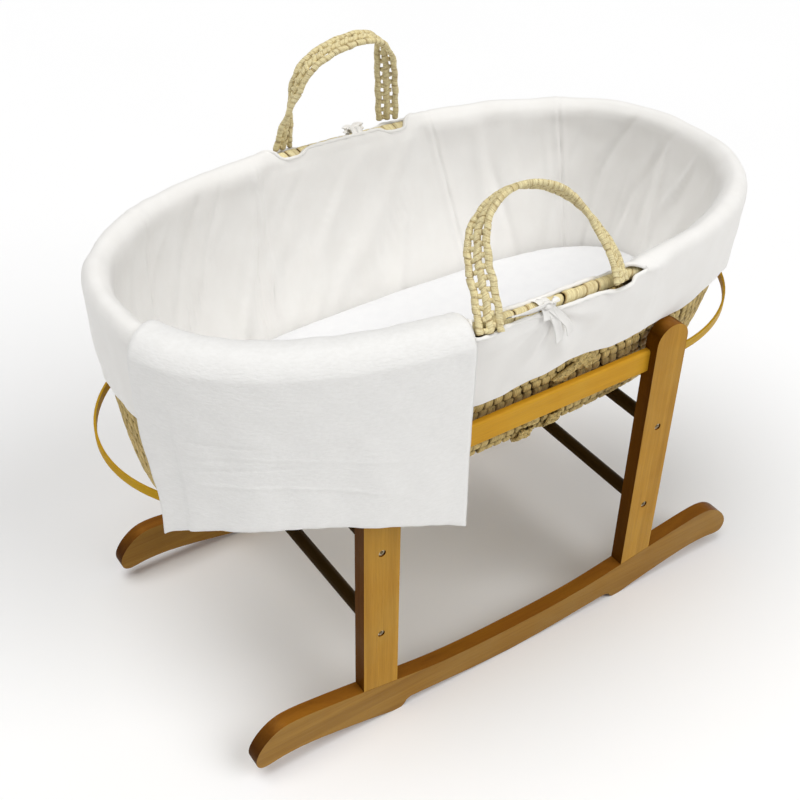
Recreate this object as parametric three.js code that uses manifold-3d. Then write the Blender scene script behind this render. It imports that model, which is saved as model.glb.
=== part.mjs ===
// Bassinet on a rocking stand: a woven palm basket with a fabric liner, a
// mattress, a folded blanket and two palm handles, carried by a timber stand.
// Millimetres, +Z up. The long side is X, the front is -Y, the head end is -X,
// and the origin is on the floor under the middle of the stand.
import * as THREE from 'three';
import { mergeVertices } from 'three/addons/utils/BufferGeometryUtils.js';
import Module from 'manifold-3d';

const wasm = await Module();
wasm.setup();

// ---------------------------------------------------------------- driving dimensions

const GAP = 0.3;              // clearance left between pieces that touch

// Stand timber
const TIMBER = 20;            // thickness of rockers and uprights
const OUTER_Y = 209;          // outer faces of rockers and uprights
const INNER_Y = OUTER_Y - TIMBER;
const UPRIGHT_X = 212.5;
const UPRIGHT_WIDTH = 50;
const UPRIGHT_TOP = 456.5;
const UPRIGHT_BLANK_BOTTOM = 40;  // before its foot is shaped to the rocker
const ROCKER_HALF = 392;

// Cross dowels between the front and rear uprights, and their bolts
const DOWEL_RADIUS = 9;
const DOWEL_HEIGHTS = { lower: 160, upper: 296 };
const BOLT_RADIUS = 3;
const BOLT_LENGTH = 45;
const BOLT_HEAD_RADIUS = 4.7;
const BOLT_HEAD_HEIGHT = 5;
const COUNTERBORE_DEPTH = 7;
const SOCKET = { radius: 2.6, depth: 3 };
const BORE_PLAY = 0.3;        // radial play of every screw and pin in its bore

// Side rails and their pins
const RAIL_BOTTOM = 388.5;
const RAIL_HEIGHT = 33;
const RAIL_THICKNESS = 10;
const RAIL_EDGE_RADIUS = 3.5;
const PIN_RADIUS = 3;
const PIN_LENGTH = 36;

// Bentwood end hoops
const HOOP_TIP = { left: 450, right: 445 };
const HOOP_THICKNESS = 3;
const HOOP_HEIGHT = 11.5;
const HOOP_MIDDLE_Z = 396;
const HOOP_LAP = 30;          // length of strip housed in each upright
const HOOP_SCREW_X = 222;

// Screws: the long one under each upright, and the small one at each hoop's end
const FOOT_SCREW = { seat: 25, head: 5.5, headHeight: 4.7, length: 80, counterbore: 6, bore: 106 };
const HOOP_SCREW = { radius: 1.5, length: 16, head: 3.4, headTop: 2.6, headHeight: 1.4 };

// Basket: its plan is a superellipse that flares from the base to the rim
const BASE_Z = DOWEL_HEIGHTS.upper + DOWEL_RADIUS + GAP;
const RIM_Z = 587;
const HEAD_RISE = 9.5;        // the rim is this much higher at the head, lower at the foot
const BASE = { length: 379, width: 131.5, power: 3.3 };
const RIM = { length: 427.5, width: 234.5, power: 2.4 };
const FLARE = { length: 0.46, width: 0.80 };
const WALL = 9;
const FLOOR = 14;
const COIL_RADIUS = 8;        // the wrapped coil that finishes the rim
const COIL_DROP = 12;         // its middle below the top of the fabric roll

// Liner
const CLOTH = 2.5;
const SKIRT_HEM_Z = 466;
const SKIRT_OFFSET = 5;
const SKIRT_OVER_STRAP = 9;
const HANDLE_OPENING = 123;   // half length of the gap in the liner at each handle
const OPENING_EDGE_Z = 572;
const RIBBON = { at: { front: -14, rear: 18 }, width: 8, thickness: 2, drop: 48, reach: 17.5,
  loop: [17, 6, 3] };

// Handles
const STRAP_WIDTH = 32;
const STRAP_THICKNESS = 6;
const WALL_STRAP = { width: 24, thickness: 4, gap: 0.8 };  // pressed between basket and rail
const STRAP_MEET = { x: 38, z: 462 };  // where a handle's two legs join under the skirt
const HINGE_Y = 237;
const HINGE_Z = RIM_Z - 2;

// Mattress and blanket
const MATTRESS_BOTTOM = BASE_Z + FLOOR + 0.7;
const MATTRESS_TOP = 376;
const MATTRESS = { length: 379, width: 140, power: 2.9 };
const BLANKET_THICKNESS = 6;
const BLANKET_OFFSET = 17.5;
const BLANKET_INSIDE = 50;    // how far the blanket hangs down inside the rim
const BLANKET_SPAN = [-409.5, -128];
const BLANKET_EDGE = [351, 142, -165];  // height of its lower edge, as a parabola along it

// ---------------------------------------------------------------- finishes

function finish(color, roughness, metalness = 0) {
  return new THREE.MeshStandardMaterial({ color, roughness, metalness });
}

const STAINED_WOOD = finish(0xb0853c, 0.45);
const DARK_WOOD = finish(0x6b4a22, 0.5);
const GOLDEN_WOOD = finish(0xd4a032, 0.4);
const STEEL = finish(0xb8b4a8, 0.35, 0.9);
const PALM = finish(0xcbb27c, 0.85);
const COTTON = finish(0xefede8, 0.95);
const SHEET = finish(0xf8f8f6, 0.95);
const CELLULAR = finish(0xf0efec, 1.0);

// ---------------------------------------------------------------- mesh helpers

const object = new THREE.Group();

function add(name, geometry, material) {
  const mesh = new THREE.Mesh(geometry, material);
  mesh.name = name;
  object.add(mesh);
  return mesh;
}

function toSolid(geometry) {
  const bare = geometry.clone();
  bare.deleteAttribute('normal');
  bare.deleteAttribute('uv');
  const merged = mergeVertices(bare, 1e-4);
  return new wasm.Manifold(new wasm.Mesh({
    numProp: 3,
    vertProperties: new Float32Array(merged.attributes.position.array),
    triVerts: new Uint32Array(merged.index.array),
  }));
}

function toGeometry(solid) {
  const mesh = solid.getMesh();
  const geometry = new THREE.BufferGeometry();
  geometry.setAttribute('position', new THREE.BufferAttribute(mesh.vertProperties, 3));
  geometry.setIndex(new THREE.BufferAttribute(mesh.triVerts, 1));
  geometry.computeVertexNormals();
  return geometry;
}

function cut(body, ...tools) {
  return toGeometry(tools.reduce((left, tool) => left.subtract(toSolid(tool)), toSolid(body)));
}

function join(...bodies) {
  return toGeometry(bodies.map(toSolid).reduce((sum, body) => sum.add(body)));
}

function box(low, high) {
  const size = high.map((value, axis) => value - low[axis]);
  const middle = high.map((value, axis) => (value + low[axis]) / 2);
  return new THREE.BoxGeometry(...size).translate(...middle);
}

// A rod between two points, made as a cylinder turned onto their line.
function rod(from, to, radius, sides = 12) {
  const start = new THREE.Vector3(...from);
  const along = new THREE.Vector3(...to).sub(start);
  const turn = new THREE.Quaternion().setFromUnitVectors(
    new THREE.Vector3(0, 1, 0), along.clone().normalize());
  return new THREE.CylinderGeometry(radius, radius, along.length(), sides)
    .applyQuaternion(turn)
    .translate(...start.addScaledVector(along, 0.5).toArray());
}

// A solid of revolution about Y, from [radius, height] pairs.
function turned(profile) {
  return new THREE.LatheGeometry(profile.map((pair) => new THREE.Vector2(...pair)), 12);
}

// An outline in the X-Z plane, extruded along Y from y0 to y1.
function plate(shape, y0, y1) {
  return new THREE.ExtrudeGeometry(shape, { depth: y1 - y0, bevelEnabled: false, curveSegments: 12 })
    .rotateX(Math.PI / 2)
    .translate(0, y1, 0);
}

// Rings of points joined row to row. With closed true the last row joins the
// first, otherwise each end is closed by strips across its ring, from each point
// to the one as far from the ring's other end.
function loft(rows, closed) {
  const count = rows[0].length;
  const points = rows.flat();
  const faces = [];
  const quad = (a, b, c, d) => faces.push(a, b, c, a, c, d);
  const last = closed ? rows.length : rows.length - 1;
  for (let row = 0; row < last; row += 1) {
    const next = (row + 1) % rows.length;
    for (let i = 0; i < count; i += 1) {
      const j = (i + 1) % count;
      quad(row * count + i, row * count + j, next * count + j, next * count + i);
    }
  }
  if (!closed) {
    const end = (rows.length - 1) * count;
    for (let i = 0; i < count / 2 - 1; i += 1) {
      const j = count - 1 - i;
      quad(i, j, j - 1, i + 1);
      quad(end + i, end + i + 1, end + j - 1, end + j);
    }
  }
  return closedMesh(points, faces);
}

// Turns the faces over where their signed volume is negative.
function closedMesh(points, faces) {
  let volume = 0;
  for (let i = 0; i < faces.length; i += 3) {
    const [a, b, c] = [points[faces[i]], points[faces[i + 1]], points[faces[i + 2]]];
    volume += a.dot(new THREE.Vector3().crossVectors(b, c));
  }
  const geometry = new THREE.BufferGeometry().setFromPoints(points);
  geometry.setIndex(volume < 0 ? faces.reverse() : faces);
  geometry.computeVertexNormals();
  return geometry;
}

const SIDES = [['left', -1], ['right', 1]];
const FACES = [['front', -1], ['rear', 1]];

// ---------------------------------------------------------------- stand

// A rocker's outline: half of it is drawn, from the top middle round the nose to
// the bottom middle, then mirrored. It stands on a short flat foot, and the part between the two feet is
// cut back to a shallow belly behind a rounded step.
function rockerOutline(lift = 0) {
  const spline = (list) => list.map(([x, z]) => new THREE.Vector2(x, z));
  const half = new THREE.Path();
  half.moveTo(0, 44.5);
  half.splineThru(spline([[62, 45.3], [125, 49.5], [187, 58.5], [240, 67], [290, 74.5],
    [334, 79.5], [358, 76.5], [376, 65], [388, 50], [ROCKER_HALF, 37], [389, 26],
    [379, 21.5], [354, 24.5], [325, 24.5], [290, 20], [250, 12.5], [218, 6], [198, 1.2], [190, 0]]));
  half.lineTo(180, 0);
  half.bezierCurveTo(174, 1, 175, 11.5, 166, 12);
  half.splineThru(spline([[127, 9], [64, 4], [0, 1.5]]));
  const right = half.getPoints(3);
  const left = right.slice(1, -1).reverse().map((p) => new THREE.Vector2(-p.x, p.y));
  const points = right.concat(left).map((p) => new THREE.Vector2(p.x, p.y + lift));
  return new THREE.Shape(points);
}

// The counterbore in the rocker and the bore up into the upright, for a foot screw.
function footScrewBores(x, y) {
  const { seat, counterbore, bore } = FOOT_SCREW;
  return [
    rod([x, y, -5], [x, y, seat], counterbore),
    rod([x, y, seat - 1], [x, y, bore], BOLT_RADIUS + BORE_PLAY),
  ];
}

for (const [face, fy] of FACES) {
  const y = fy * (OUTER_Y + INNER_Y) / 2;
  const cuts = SIDES.flatMap(([, sx]) => footScrewBores(sx * UPRIGHT_X, y));
  const blank = plate(rockerOutline(), y - TIMBER / 2, y + TIMBER / 2);
  add(`rocker_${face}`, cut(blank, ...cuts), STAINED_WOOD);
}

function uprightShape() {
  const radius = UPRIGHT_WIDTH / 2;
  const shape = new THREE.Shape();
  shape.moveTo(-radius, UPRIGHT_BLANK_BOTTOM);
  shape.lineTo(radius, UPRIGHT_BLANK_BOTTOM);
  shape.lineTo(radius, UPRIGHT_TOP - radius);
  shape.absarc(0, UPRIGHT_TOP - radius, radius, 0, Math.PI, false);
  shape.closePath();
  return shape;
}

for (const [face, fy] of FACES) {
  for (const [side, sx] of SIDES) {
    const x = sx * UPRIGHT_X;
    const y = fy * (OUTER_Y + INNER_Y) / 2;
    const outer = fy * OUTER_Y;
    const blank = plate(uprightShape(), y - TIMBER / 2, y + TIMBER / 2).translate(x, 0, 0);
    const rocker = plate(rockerOutline(GAP), y - TIMBER, y + TIMBER);
    const boltHoles = Object.values(DOWEL_HEIGHTS).flatMap((z) => [
      rod([x, outer + fy, z], [x, outer - fy * COUNTERBORE_DEPTH, z], BOLT_HEAD_RADIUS + BORE_PLAY),
      rod([x, outer, z], [x, fy * (INNER_Y - 1), z], BOLT_RADIUS + BORE_PLAY),
    ]);
    const inward = x - sx * UPRIGHT_WIDTH / 2;
    const railY = fy * (INNER_Y + RAIL_THICKNESS / 2);
    const railZ = RAIL_BOTTOM + RAIL_HEIGHT / 2;
    const pinHole = rod([inward - sx, railY, railZ],
      [inward + sx * (PIN_LENGTH / 2 + 1), railY, railZ], PIN_RADIUS + BORE_PLAY);
    const edge = x + sx * UPRIGHT_WIDTH / 2;
    const housingX = [edge + sx, edge - sx * HOOP_LAP].sort((a, b) => a - b);
    const housingY = [fy * (INNER_Y - 1), fy * (INNER_Y + HOOP_THICKNESS + GAP)]
      .sort((a, b) => a - b);
    const housing = box(
      [housingX[0], housingY[0], HOOP_MIDDLE_Z - HOOP_HEIGHT / 2 - GAP],
      [housingX[1], housingY[1], HOOP_MIDDLE_Z + HOOP_HEIGHT / 2 + GAP]);
    const hoopScrewHole = rod([sx * HOOP_SCREW_X, fy * INNER_Y, HOOP_MIDDLE_Z],
      [sx * HOOP_SCREW_X, fy * (OUTER_Y - 4), HOOP_MIDDLE_Z], HOOP_SCREW.radius + BORE_PLAY);
    const geometry = cut(blank, rocker, ...boltHoles, pinHole, housing, hoopScrewHole,
      footScrewBores(x, y)[1]);
    add(`upright_${face}_${side}`, geometry, STAINED_WOOD);

    // The long screw that comes up through the rocker into the upright's foot.
    const { seat, head, headHeight, length } = FOOT_SCREW;
    const tip = headHeight + length;
    const screw = turned([[0, 0], [head, 0], [head, headHeight], [BOLT_RADIUS, headHeight],
      [BOLT_RADIUS, tip], [0, tip]])
      .rotateX(Math.PI / 2)
      .translate(x, y, seat - headHeight - GAP);
    add(`foot_screw_${face}_${side}`, screw, STEEL);

    // The pin that locates the side rail in the upright's edge.
    const pinMiddle = inward - sx * GAP / 2;
    add(`rail_pin_${face}_${side}`, rod([pinMiddle - PIN_LENGTH / 2, railY, railZ],
      [pinMiddle + PIN_LENGTH / 2, railY, railZ], PIN_RADIUS, 16), GOLDEN_WOOD);

    // The screw through the hoop's end into the upright.
    const small = HOOP_SCREW;
    const crown = small.length + small.headHeight;
    const hoopScrew = turned([[0, 0], [small.radius, 0], [small.radius, small.length],
      [small.head, small.length], [small.headTop, crown], [0, crown]])
      .rotateX(fy > 0 ? Math.PI : 0)
      .translate(sx * HOOP_SCREW_X, fy * (INNER_Y - GAP + small.length), HOOP_MIDDLE_Z);
    add(`hoop_screw_${face}_${side}`, hoopScrew, STEEL);
  }
}

// Hexagon-socket bolt, head at +Y, seated in the upright and screwed into the dowel.
function boltGeometry() {
  const neck = BOLT_LENGTH;
  const top = neck + BOLT_HEAD_HEIGHT;
  const body = turned([[0, 0], [BOLT_RADIUS, 0], [BOLT_RADIUS, neck], [BOLT_HEAD_RADIUS, neck],
    [BOLT_HEAD_RADIUS, top], [0, top]]);
  return cut(body, rod([0, top - SOCKET.depth, 0], [0, top + 1, 0], SOCKET.radius, 6));
}

for (const [side, sx] of SIDES) {
  for (const [level, z] of Object.entries(DOWEL_HEIGHTS)) {
    const x = sx * UPRIGHT_X;
    const end = INNER_Y - GAP;
    const bores = FACES.map(([, fy]) => rod([x, fy * (end + 1), z],
      [x, fy * (OUTER_Y - COUNTERBORE_DEPTH - BOLT_LENGTH - 1), z], BOLT_RADIUS + BORE_PLAY));
    const dowel = rod([x, -end, z], [x, end, z], DOWEL_RADIUS, 24);
    add(`dowel_${level}_${side}`, cut(dowel, ...bores), DARK_WOOD);
    for (const [face, fy] of FACES) {
      const seat = OUTER_Y - COUNTERBORE_DEPTH + GAP;
      const bolt = boltGeometry().translate(0, seat - BOLT_LENGTH, 0);
      if (fy < 0) bolt.rotateX(Math.PI);
      add(`bolt_${level}_${face}_${side}`, bolt.translate(x, 0, z), STEEL);
    }
  }
}

// Side rails: round-edged laths let in between the uprights, on their inner half.
for (const [face, fy] of FACES) {
  const length = 2 * (UPRIGHT_X - UPRIGHT_WIDTH / 2 - GAP);
  const [t, h, r] = [RAIL_THICKNESS / 2, RAIL_HEIGHT / 2, RAIL_EDGE_RADIUS];
  const shape = new THREE.Shape();
  shape.moveTo(-t + r, -h);
  shape.absarc(t - r, -h + r, r, -Math.PI / 2, 0, false);
  shape.absarc(t - r, h - r, r, 0, Math.PI / 2, false);
  shape.absarc(-t + r, h - r, r, Math.PI / 2, Math.PI, false);
  shape.absarc(-t + r, -h + r, r, Math.PI, 1.5 * Math.PI, false);
  const y = fy * (INNER_Y + RAIL_THICKNESS / 2);
  const z = RAIL_BOTTOM + RAIL_HEIGHT / 2;
  const options = { depth: length, bevelEnabled: false, curveSegments: 5 };
  const lath = new THREE.ExtrudeGeometry(shape, options)
    .rotateY(Math.PI / 2)
    .rotateX(Math.PI / 2)
    .translate(-length / 2, y, z);
  const bores = SIDES.map(([, sx]) => rod([sx * (length / 2 + 1), y, z],
    [sx * (length / 2 - PIN_LENGTH / 2 - 1), y, z], PIN_RADIUS + BORE_PLAY));
  add(`side_rail_${face}`, cut(lath, ...bores), GOLDEN_WOOD);
}

// End hoops: a flat strip bent to a half ellipse, its straight ends housed in
// the uprights' inner faces.
for (const [side, sx] of SIDES) {
  const startX = UPRIGHT_X + UPRIGHT_WIDTH / 2 - 4;
  const lapX = UPRIGHT_X + UPRIGHT_WIDTH / 2 - HOOP_LAP + GAP;
  const outline = (grow) => {
    const a = HOOP_TIP[side] - HOOP_THICKNESS - startX + grow;
    const b = INNER_Y + grow;
    const points = [[lapX, -b], [startX, -b]];
    const steps = 48;
    for (let i = 1; i < steps; i += 1) {
      const angle = -Math.PI / 2 + (Math.PI * i) / steps;
      points.push([startX + a * Math.cos(angle), b * Math.sin(angle)]);
    }
    points.push([startX, b], [lapX, b]);
    return points;
  };
  const ring = outline(HOOP_THICKNESS).concat(outline(0).reverse())
    .map(([x, y]) => new THREE.Vector2(sx * x, y));
  const options = { depth: HOOP_HEIGHT, bevelEnabled: false };
  const strip = new THREE.ExtrudeGeometry(new THREE.Shape(ring), options)
    .translate(0, 0, HOOP_MIDDLE_Z - HOOP_HEIGHT / 2);
  const holes = FACES.map(([, fy]) => rod([sx * HOOP_SCREW_X, fy * (INNER_Y - 2), HOOP_MIDDLE_Z],
    [sx * HOOP_SCREW_X, fy * (INNER_Y + 5), HOOP_MIDDLE_Z], HOOP_SCREW.radius + BORE_PLAY));
  add(`end_hoop_${side}`, cut(strip, ...holes), GOLDEN_WOOD);
}

// ---------------------------------------------------------------- basket surface

function rimHeight(x) {
  return RIM_Z - HEAD_RISE * (x / RIM.length);
}

function power(base, exponent) {
  return Math.sign(base) * Math.abs(base) ** exponent;
}

// A point on the basket's outside, at an angle in plan and a height z, moved
// out by an offset (in by a negative one).
function onBasket(angle, z, offset = 0) {
  let x = 0;
  let y = 0;
  let level = Math.min(1, Math.max(0, (z - BASE_Z) / (RIM_Z - BASE_Z)));
  for (let pass = 0; pass < 3; pass += 1) {
    const length = BASE.length + (RIM.length - BASE.length) * level ** FLARE.length + offset;
    const width = BASE.width + (RIM.width - BASE.width) * level ** FLARE.width + offset;
    const n = BASE.power + (RIM.power - BASE.power) * level;
    x = length * power(Math.cos(angle), 2 / n);
    y = width * power(Math.sin(angle), 2 / n);
    level = Math.min(1, Math.max(0, (z - BASE_Z) / (rimHeight(x) - BASE_Z)));
  }
  return new THREE.Vector3(x, y, z);
}

// The same, with the height given as a drop below the rim at that place.
function belowRim(angle, drop, offset = 0) {
  const rim = onBasket(angle, RIM_Z, offset);
  return onBasket(angle, rimHeight(rim.x) - drop, offset);
}

// Evenly spaced angles once round the plan.
function angles(count) {
  return Array.from({ length: count }, (_, i) => (2 * Math.PI * i) / count);
}

const AROUND = 60;

// ---------------------------------------------------------------- basket pieces

function basketShell() {
  const ring = (z, offset) => angles(AROUND).map((a) => onBasket(a, z, offset));
  const wallTop = COIL_DROP + COIL_RADIUS + GAP;
  const top = (offset) => angles(AROUND).map((a) => belowRim(a, wallTop, offset));
  const heights = [38, 75, 125, 190];
  const outside = [0, 5, 15, ...heights].map((h) => ring(BASE_Z + h, 0));
  const inside = [FLOOR, ...heights].map((h) => ring(BASE_Z + h, -WALL));
  return loft([...outside, top(0), top(-WALL), ...inside.reverse()], false);
}

// Closes a profile of [drop below the rim, offset] pairs round the basket.
function ringSolid(profile, count = AROUND) {
  const rings = angles(count)
    .map((a) => profile(a).map(([drop, offset]) => belowRim(a, drop, offset)));
  return loft(rings, true);
}

function coil() {
  const section = Array.from({ length: 8 }, (_, i) => {
    const turn = (2 * Math.PI * i) / 8;
    return [COIL_DROP - COIL_RADIUS * Math.sin(turn), -COIL_RADIUS + COIL_RADIUS * Math.cos(turn)];
  });
  return ringSolid(() => section);
}

function smooth(value, low, high) {
  const t = Math.min(1, Math.max(0, (value - low) / (high - low)));
  return t * t * (3 - 2 * t);
}

// The liner: an inside panel, a padded roll over the rim and an outside skirt,
// in one thickness of cloth. The skirt stands off further over the handle straps.
function liner() {
  const half = CLOTH / 2;
  const profile = (angle) => {
    const rim = onBasket(angle, RIM_Z);
    const nearStrap = 1 - smooth(Math.abs(rim.x), 128, 175);
    const skirt = SKIRT_OFFSET + (SKIRT_OVER_STRAP - SKIRT_OFFSET) * nearStrap;
    const top = rimHeight(rim.x);
    const hem = top - SKIRT_HEM_Z;
    const foot = top - (BASE_Z + FLOOR + 4);
    const middle = [[foot, -15], [foot - 60, -16], [120, -17], [60, -19], [26, -22], [12, -23.5],
      [3, -19], [-0.5, -11], [1.5, -3], [9, skirt - 1], [20, skirt], [60, skirt], [hem, skirt]];
    const offsetPath = (distance) => middle.map((point, i) => {
      const a = middle[Math.max(0, i - 1)];
      const b = middle[Math.min(middle.length - 1, i + 1)];
      const along = new THREE.Vector2(b[0] - a[0], b[1] - a[1]).normalize();
      return [point[0] + along.y * distance, point[1] - along.x * distance];
    });
    return offsetPath(half).concat(offsetPath(-half).reverse());
  };
  const cloth = ringSolid(profile, 72);
  const openings = FACES.map(([, fy]) => {
    const y = [fy * (RIM.width - 20), fy * (RIM.width + 40)].sort((a, b) => a - b);
    return box([-HANDLE_OPENING, y[0], OPENING_EDGE_Z], [HANDLE_OPENING, y[1], RIM_Z + 30]);
  });
  return cut(cloth, ...openings);
}

add('basket_shell', basketShell(), PALM);
add('basket_rim_coil', coil(), PALM);
add('liner', liner(), COTTON);

// ---------------------------------------------------------------- handles

// A flat strap along a curve. The frames list gives, from start to end, the
// strap's width direction, eased from one to the next.
function strap(curve, frames, count, width = STRAP_WIDTH, thickness = STRAP_THICKNESS) {
  const rows = [];
  for (let i = 0; i <= count; i += 1) {
    const t = i / count;
    const along = curve.getTangentAt(t);
    const place = t * (frames.length - 1);
    const k = Math.min(frames.length - 2, Math.floor(place));
    const across = frames[k].clone().lerp(frames[k + 1], smooth(place - k, 0, 1));
    across.addScaledVector(along, -across.dot(along)).normalize();
    const up = new THREE.Vector3().crossVectors(along, across);
    const middle = curve.getPointAt(t);
    rows.push([[-1, -1], [1, -1], [1, 1], [-1, 1]].map(([a, b]) => middle.clone()
      .addScaledVector(across, (a * width) / 2)
      .addScaledVector(up, (b * thickness) / 2)));
  }
  return loft(rows, false);
}

// Each handle is drawn in its own plane, as [along X, height above the hinge],
// and the plane leans in towards the basket's middle.
const HANDLES = {
  front: {
    lean: 35,
    arch: [[-101, 5], [-94, 35], [-90, 68], [-78, 101], [-50, 124], [-12, 131], [28, 118],
      [55, 90], [72, 52], [79, 24], [79, 5]],
    twist: [15, 40, 45, 60, 80, 90, 90, 100, 115, 122, 130, 165],
  },
  rear: {
    lean: 8,
    arch: [[-78, 5], [-73, 34], [-64, 74], [-48, 106], [-20, 123], [12, 130], [38, 130],
      [59, 121], [70, 99], [77, 58], [84, 5]],
    twist: [10, 25, 57, 85, 90, 90, 90, 90, 95, 130, 147, 150, 155],
  },
};

for (const [face, fy] of FACES) {
  const { lean, arch, twist } = HANDLES[face];
  const tilt = THREE.MathUtils.degToRad(lean);
  const up = new THREE.Vector3(0, -fy * Math.sin(tilt), Math.cos(tilt));
  const out = new THREE.Vector3(0, fy * Math.cos(tilt), Math.sin(tilt));
  const hinge = new THREE.Vector3(0, fy * HINGE_Y, HINGE_Z);
  const points = arch.map(([x, h]) => new THREE.Vector3(x, 0, 0).add(hinge).addScaledVector(up, h));
  const curve = new THREE.CatmullRomCurve3(points, false, 'centripetal');
  const along = new THREE.Vector3(1, 0, 0);
  const frames = twist.map((degrees) => {
    const angle = THREE.MathUtils.degToRad(degrees);
    return along.clone().multiplyScalar(Math.cos(angle)).addScaledVector(out, Math.sin(angle));
  });
  add(`handle_${face}`, strap(curve, frames, 44), PALM);
}

// Below each handle its two legs run down the outside of the basket under the
// skirt, meet, and go on as one strap under the basket's edge.
function wallStrap(fy, from, to) {
  const { width, thickness, gap } = WALL_STRAP;
  const rows = [];
  const steps = 10;
  for (let i = 0; i <= steps; i += 1) {
    const t = i / steps;
    const x = from.x + (to.x - from.x) * t;
    const z = from.z + (to.z - from.z) * t;
    const edge = (side, offset) => wallPoint(fy, x + (side * width) / 2, z, offset);
    const outer = gap + thickness;
    rows.push([edge(-1, gap), edge(1, gap), edge(1, outer), edge(-1, outer)]);
  }
  return loft(rows, false);
}

// The point on the basket's long side at a given x and height.
function wallPoint(fy, x, z, offset) {
  let low = 0;
  let high = Math.PI;
  for (let i = 0; i < 30; i += 1) {
    const middle = (low + high) / 2;
    if (onBasket(middle, z, offset).x > x) low = middle;
    else high = middle;
  }
  const point = onBasket((low + high) / 2, z, offset);
  return new THREE.Vector3(point.x, fy * point.y, z);
}

for (const [face, fy] of FACES) {
  const { arch } = HANDLES[face];
  const { x: meetX, z: meetZ } = STRAP_MEET;
  const legs = [arch[0][0], arch.at(-1)[0]]
    .map((x) => wallStrap(fy, { x, z: HINGE_Z - 6 }, STRAP_MEET));
  const tail = wallStrap(fy, { x: meetX, z: meetZ + 8 }, { x: meetX + 22, z: BASE_Z + 16 });
  add(`handle_strap_${face}`, join(...legs, tail), PALM);
}

// ---------------------------------------------------------------- ribbon bows

// A ribbon tied over the bare rim in the liner's opening: a knot, two loops
// lying along the coil, and two tails that hang down outside.
function bow(fy, x) {
  const { drop, width, thickness, loop } = RIBBON;
  const y = fy * (RIM.width - COIL_RADIUS);
  const outside = y + fy * RIBBON.reach;
  const top = RIM_Z - COIL_DROP + COIL_RADIUS;
  const [nearY, farY] = [y, outside].sort((a, b) => a - b);
  const pad = (rx, ry, rz) => new THREE.SphereGeometry(1, 10, 6).scale(rx, ry, rz);
  const slab = (x0, x1, y0, y1, z0, z1) => box([x0, y0, z0], [x1, y1, z1]);
  const half = thickness / 2;
  return join(
    pad(9, 8, 5).translate(x, y, top + 6.5),
    ...SIDES.map(([, sx]) => pad(...loop).translate(x + sx * 20, y, top + 6)),
    slab(x - 4, x + 4, nearY, farY, top + 5, top + 7),
    slab(x - 11, x + 11, outside - half, outside + half, top + 3, top + 7),
    ...SIDES.map(([, sx]) => slab(x + sx * 7 - width / 2, x + sx * 7 + width / 2,
      outside - half, outside + half, top + 7 - drop, top + 7)));
}

for (const [face, fy] of FACES) add(`ribbon_bow_${face}`, bow(fy, RIBBON.at[face]), COTTON);

// ---------------------------------------------------------------- mattress

// Rows of [level, share of the length, share of the width]: it narrows towards
// the basket's floor and its top edge is rounded.
function mattress() {
  const height = MATTRESS_TOP - MATTRESS_BOTTOM;
  const rows = [[0, 0.955, 0.865], [0.16, 0.985, 0.90], [0.5, 1, 0.957], [0.76, 1, 0.996],
    [0.9, 0.985, 0.98], [0.97, 0.90, 0.90], [1, 0.5, 0.5]];
  return loft(rows.map(([level, l, w]) => angles(44).map((a) => new THREE.Vector3(
    MATTRESS.length * l * power(Math.cos(a), 2 / MATTRESS.power),
    MATTRESS.width * w * power(Math.sin(a), 2 / MATTRESS.power),
    MATTRESS_BOTTOM + level * height))), false);
}

add('mattress', mattress(), SHEET);

// ---------------------------------------------------------------- blanket

// Folded over the rim at the front of the head end. Its outside falls plumb
// from the rim, and its lower edge dips at both corners.
function blanket() {
  const columns = 22;
  const [start, end] = BLANKET_SPAN;
  const [level, slope, bend] = BLANKET_EDGE;
  const plan = (x, offset) => {
    const y = wallPoint(-1, x, RIM_Z, 0).y;
    const next = wallPoint(-1, x + 1, RIM_Z, 0);
    const along = new THREE.Vector2(1, next.y - y).normalize();
    return new THREE.Vector2(x + along.y * offset, y - along.x * offset);
  };
  const rows = [];
  for (let i = 0; i <= columns; i += 1) {
    const t = i / columns;
    // Columns bunch up where the rim turns quickly, at the head end.
    const x = start + (end - start) * t ** 1.5;
    const top = rimHeight(x);
    const bottom = level + slope * t + bend * t * t;
    const path = [[-44, top - BLANKET_INSIDE], [-40, top - 32], [-36, top - 16], [-27, top + 1],
      [-11, top + 7], [4, top + 4], [BLANKET_OFFSET - 2, top - 10], [BLANKET_OFFSET, top - 28],
      [BLANKET_OFFSET, (top + bottom) / 2], [BLANKET_OFFSET, bottom]];
    const half = BLANKET_THICKNESS / 2;
    const side = (distance) => path.map((point, k) => {
      const a = path[Math.max(0, k - 1)];
      const b = path[Math.min(path.length - 1, k + 1)];
      const along = new THREE.Vector2(b[0] - a[0], b[1] - a[1]).normalize();
      return [point[0] - along.y * distance, point[1] + along.x * distance];
    });
    rows.push(side(half).concat(side(-half).reverse()).map(([offset, z]) => {
      const p = plan(x, offset);
      return new THREE.Vector3(p.x, p.y, z);
    }));
  }
  return loft(rows, false);
}

add('blanket', blanket(), CELLULAR);

export default object;
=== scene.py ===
# %% [markdown]
# # A bassinet on a rocking stand
# A palm-leaf basket with a cotton liner, a mattress and a folded blanket sits in a timber stand.
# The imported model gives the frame: its stand stays as it is and gets bevelled edges and stained
# timber. Everything woven, sewn or stuffed is built here over its plain CAD solid.

# %% Load the frame
import math

import bmesh
import bpy
import numpy as np
from mathutils import Matrix, Vector


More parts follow.
